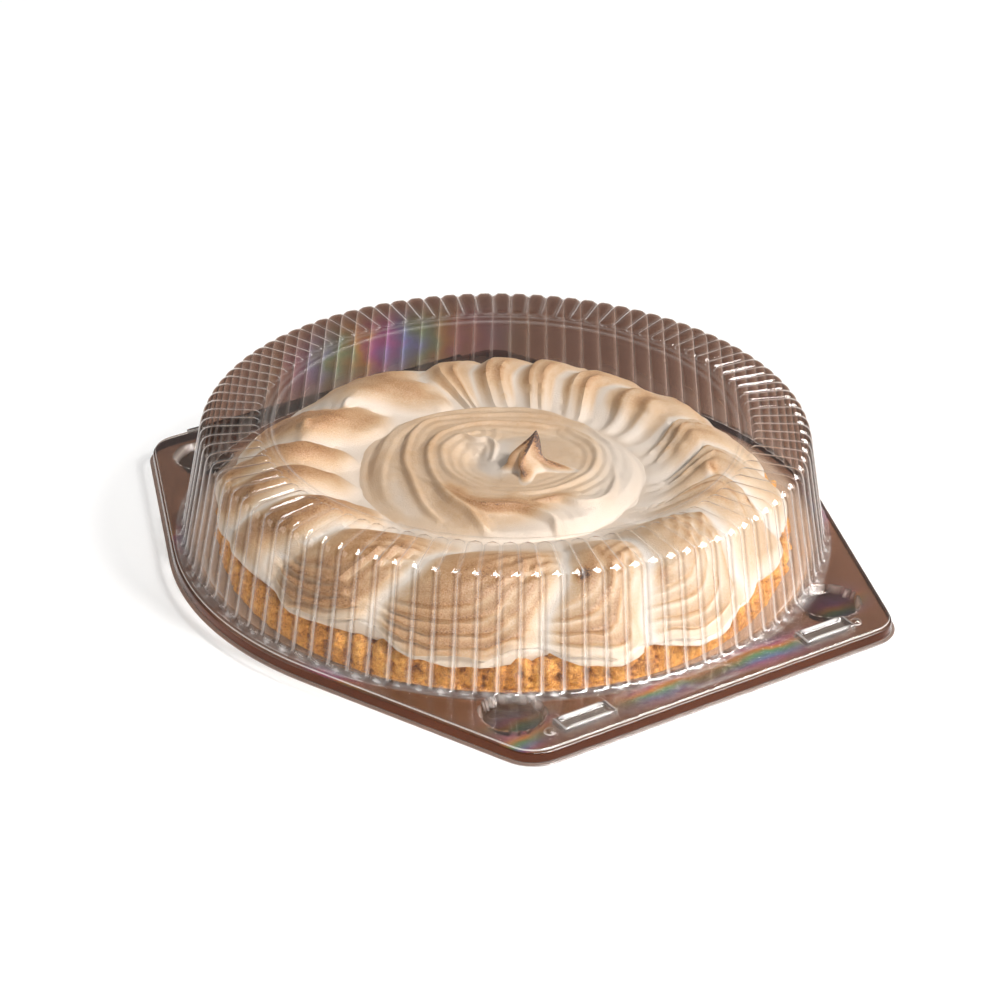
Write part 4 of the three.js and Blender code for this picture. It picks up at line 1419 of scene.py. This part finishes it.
def place_camera():
    """The aimed point lies CAMERA_DISTANCE deep behind its own pixel of the square image."""
    focal = CAMERA_LENS / CAMERA_SENSOR * IMAGE_SIZE
    away = Matrix.Rotation(PIE_TURN, 3, "Z")
    forward = away @ Vector((0, math.cos(CAMERA_ELEVATION), -math.sin(CAMERA_ELEVATION)))
    right = away @ Vector((1, 0, 0))
    down = forward.cross(right)
    c, s = math.cos(CAMERA_ROLL), math.sin(CAMERA_ROLL)
    right, down = c * right - s * down, s * right + c * down
    shift = [(p - IMAGE_SIZE / 2) / focal * CAMERA_DISTANCE for p in AIM_PIXEL]
    position = CAMERA_AIM - right * shift[0] - down * shift[1] - forward * CAMERA_DISTANCE
    data = bpy.data.cameras.new("camera")
    data.lens = CAMERA_LENS
    data.sensor_width = CAMERA_SENSOR
    data.clip_end = CAMERA_REACH
    camera = bpy.data.objects.new("camera", data)
    bpy.context.scene.collection.objects.link(camera)
    turn = Matrix((right, -down, -forward)).transposed()
    camera.matrix_world = Matrix.Translation(position) @ turn.to_4x4()
    bpy.context.scene.camera = camera


def new_lamp(name, kind, place, aim, energy, colour):
    """A lamp at place that looks at aim, both in the food's own directions."""
    data = bpy.data.lights.new(name, kind)
    data.energy = energy
    data.color = colour
    lamp = bpy.data.objects.new(name, data)
    bpy.context.scene.collection.objects.link(lamp)
    turn = Matrix.Rotation(PIE_TURN, 3, "Z")
    place, aim = turn @ Vector(place), turn @ Vector(aim)
    look = (aim - place).to_track_quat("-Z", "Y").to_matrix().to_4x4()
    lamp.matrix_world = Matrix.Translation(place) @ look
    return lamp


def pale_floor():
    deselect_all()
    bpy.ops.mesh.primitive_plane_add(size=FLOOR_SIZE, location=(0, 0, 0))
    floor = bpy.context.object
    floor.name = "floor"
    material, graph, surface = new_material("Pale floor")
    shader = graph.node("BsdfPrincipled", {
        "Base Color": (0.97, 0.97, 0.97), "Roughness": 0.9,
        "Emission Color": (1, 1, 1), "Emission Strength": 0.06,
    })
    graph.feed(surface, shader.outputs["BSDF"])
    floor.data.materials.append(material)
    return floor


class PIE_OT_stage(bpy.types.Operator):
    """Lay the pale floor, and set the soft lights and the camera"""
    bl_idname = "pie.stage"
    bl_label = "Stage"

    def execute(self, context):
        pale_floor()
        sun = new_lamp("key", "SUN", SUN_FROM, (0, 0, 0), SUN_STRENGTH, SUN_COLOUR)
        sun.data.angle = SUN_SPREAD
        for name, place, size, power, colour in LIGHT_PANELS:
            lamp = new_lamp(name, "AREA", place, PANELS_AIM, power, colour)
            lamp.data.shape = "RECTANGLE"
            lamp.data.size, lamp.data.size_y = size
            lamp.visible_diffuse = False
        world = bpy.data.worlds.new("soft room")
        world.use_nodes = True
        background = world.node_tree.nodes["Background"].inputs
        background["Color"].default_value = (1, 1, 1, 1)
        background["Strength"].default_value = ROOM_STRENGTH
        context.scene.world = world
        context.scene.view_settings.view_transform = "Standard"
        context.scene.cycles.transparent_max_bounces = CLEAR_BOUNCES
        place_camera()
        return {"FINISHED"}


class PIE_PT_panel(bpy.types.Panel):
    """Builds the pie piece by piece"""
    bl_label = "Lemon meringue pie"
    bl_space_type = "VIEW_3D"
    bl_region_type = "UI"
    bl_category = "Pie"

    def draw(self, context):
        for operator in OPERATORS:
            self.layout.operator(operator.bl_idname)


OPERATORS = (PIE_OT_stage, PIE_OT_pastry, PIE_OT_meringue, PIE_OT_dish)
SETTINGS = {
    "pie_meringue": MeringueSettings, "pie_pastry": PastrySettings, "pie_curd": CurdSettings,
    "pie_plastic": PlasticSettings,
}


def register():
    for cls in (*SETTINGS.values(), *OPERATORS, PIE_PT_panel):
        bpy.utils.register_class(cls)
    for name, cls in SETTINGS.items():
        setattr(bpy.types.Scene, name, bpy.props.PointerProperty(type=cls))


def unregister():
    for name in SETTINGS:
        delattr(bpy.types.Scene, name)
    for cls in (PIE_PT_panel, *OPERATORS, *SETTINGS.values()):
        bpy.utils.unregister_class(cls)


def main():
    register()
    bpy.ops.pie.stage()
    bpy.ops.pie.pastry()
    bpy.ops.pie.meringue()
    bpy.ops.pie.dish()


if __name__ == "__main__":
    main()
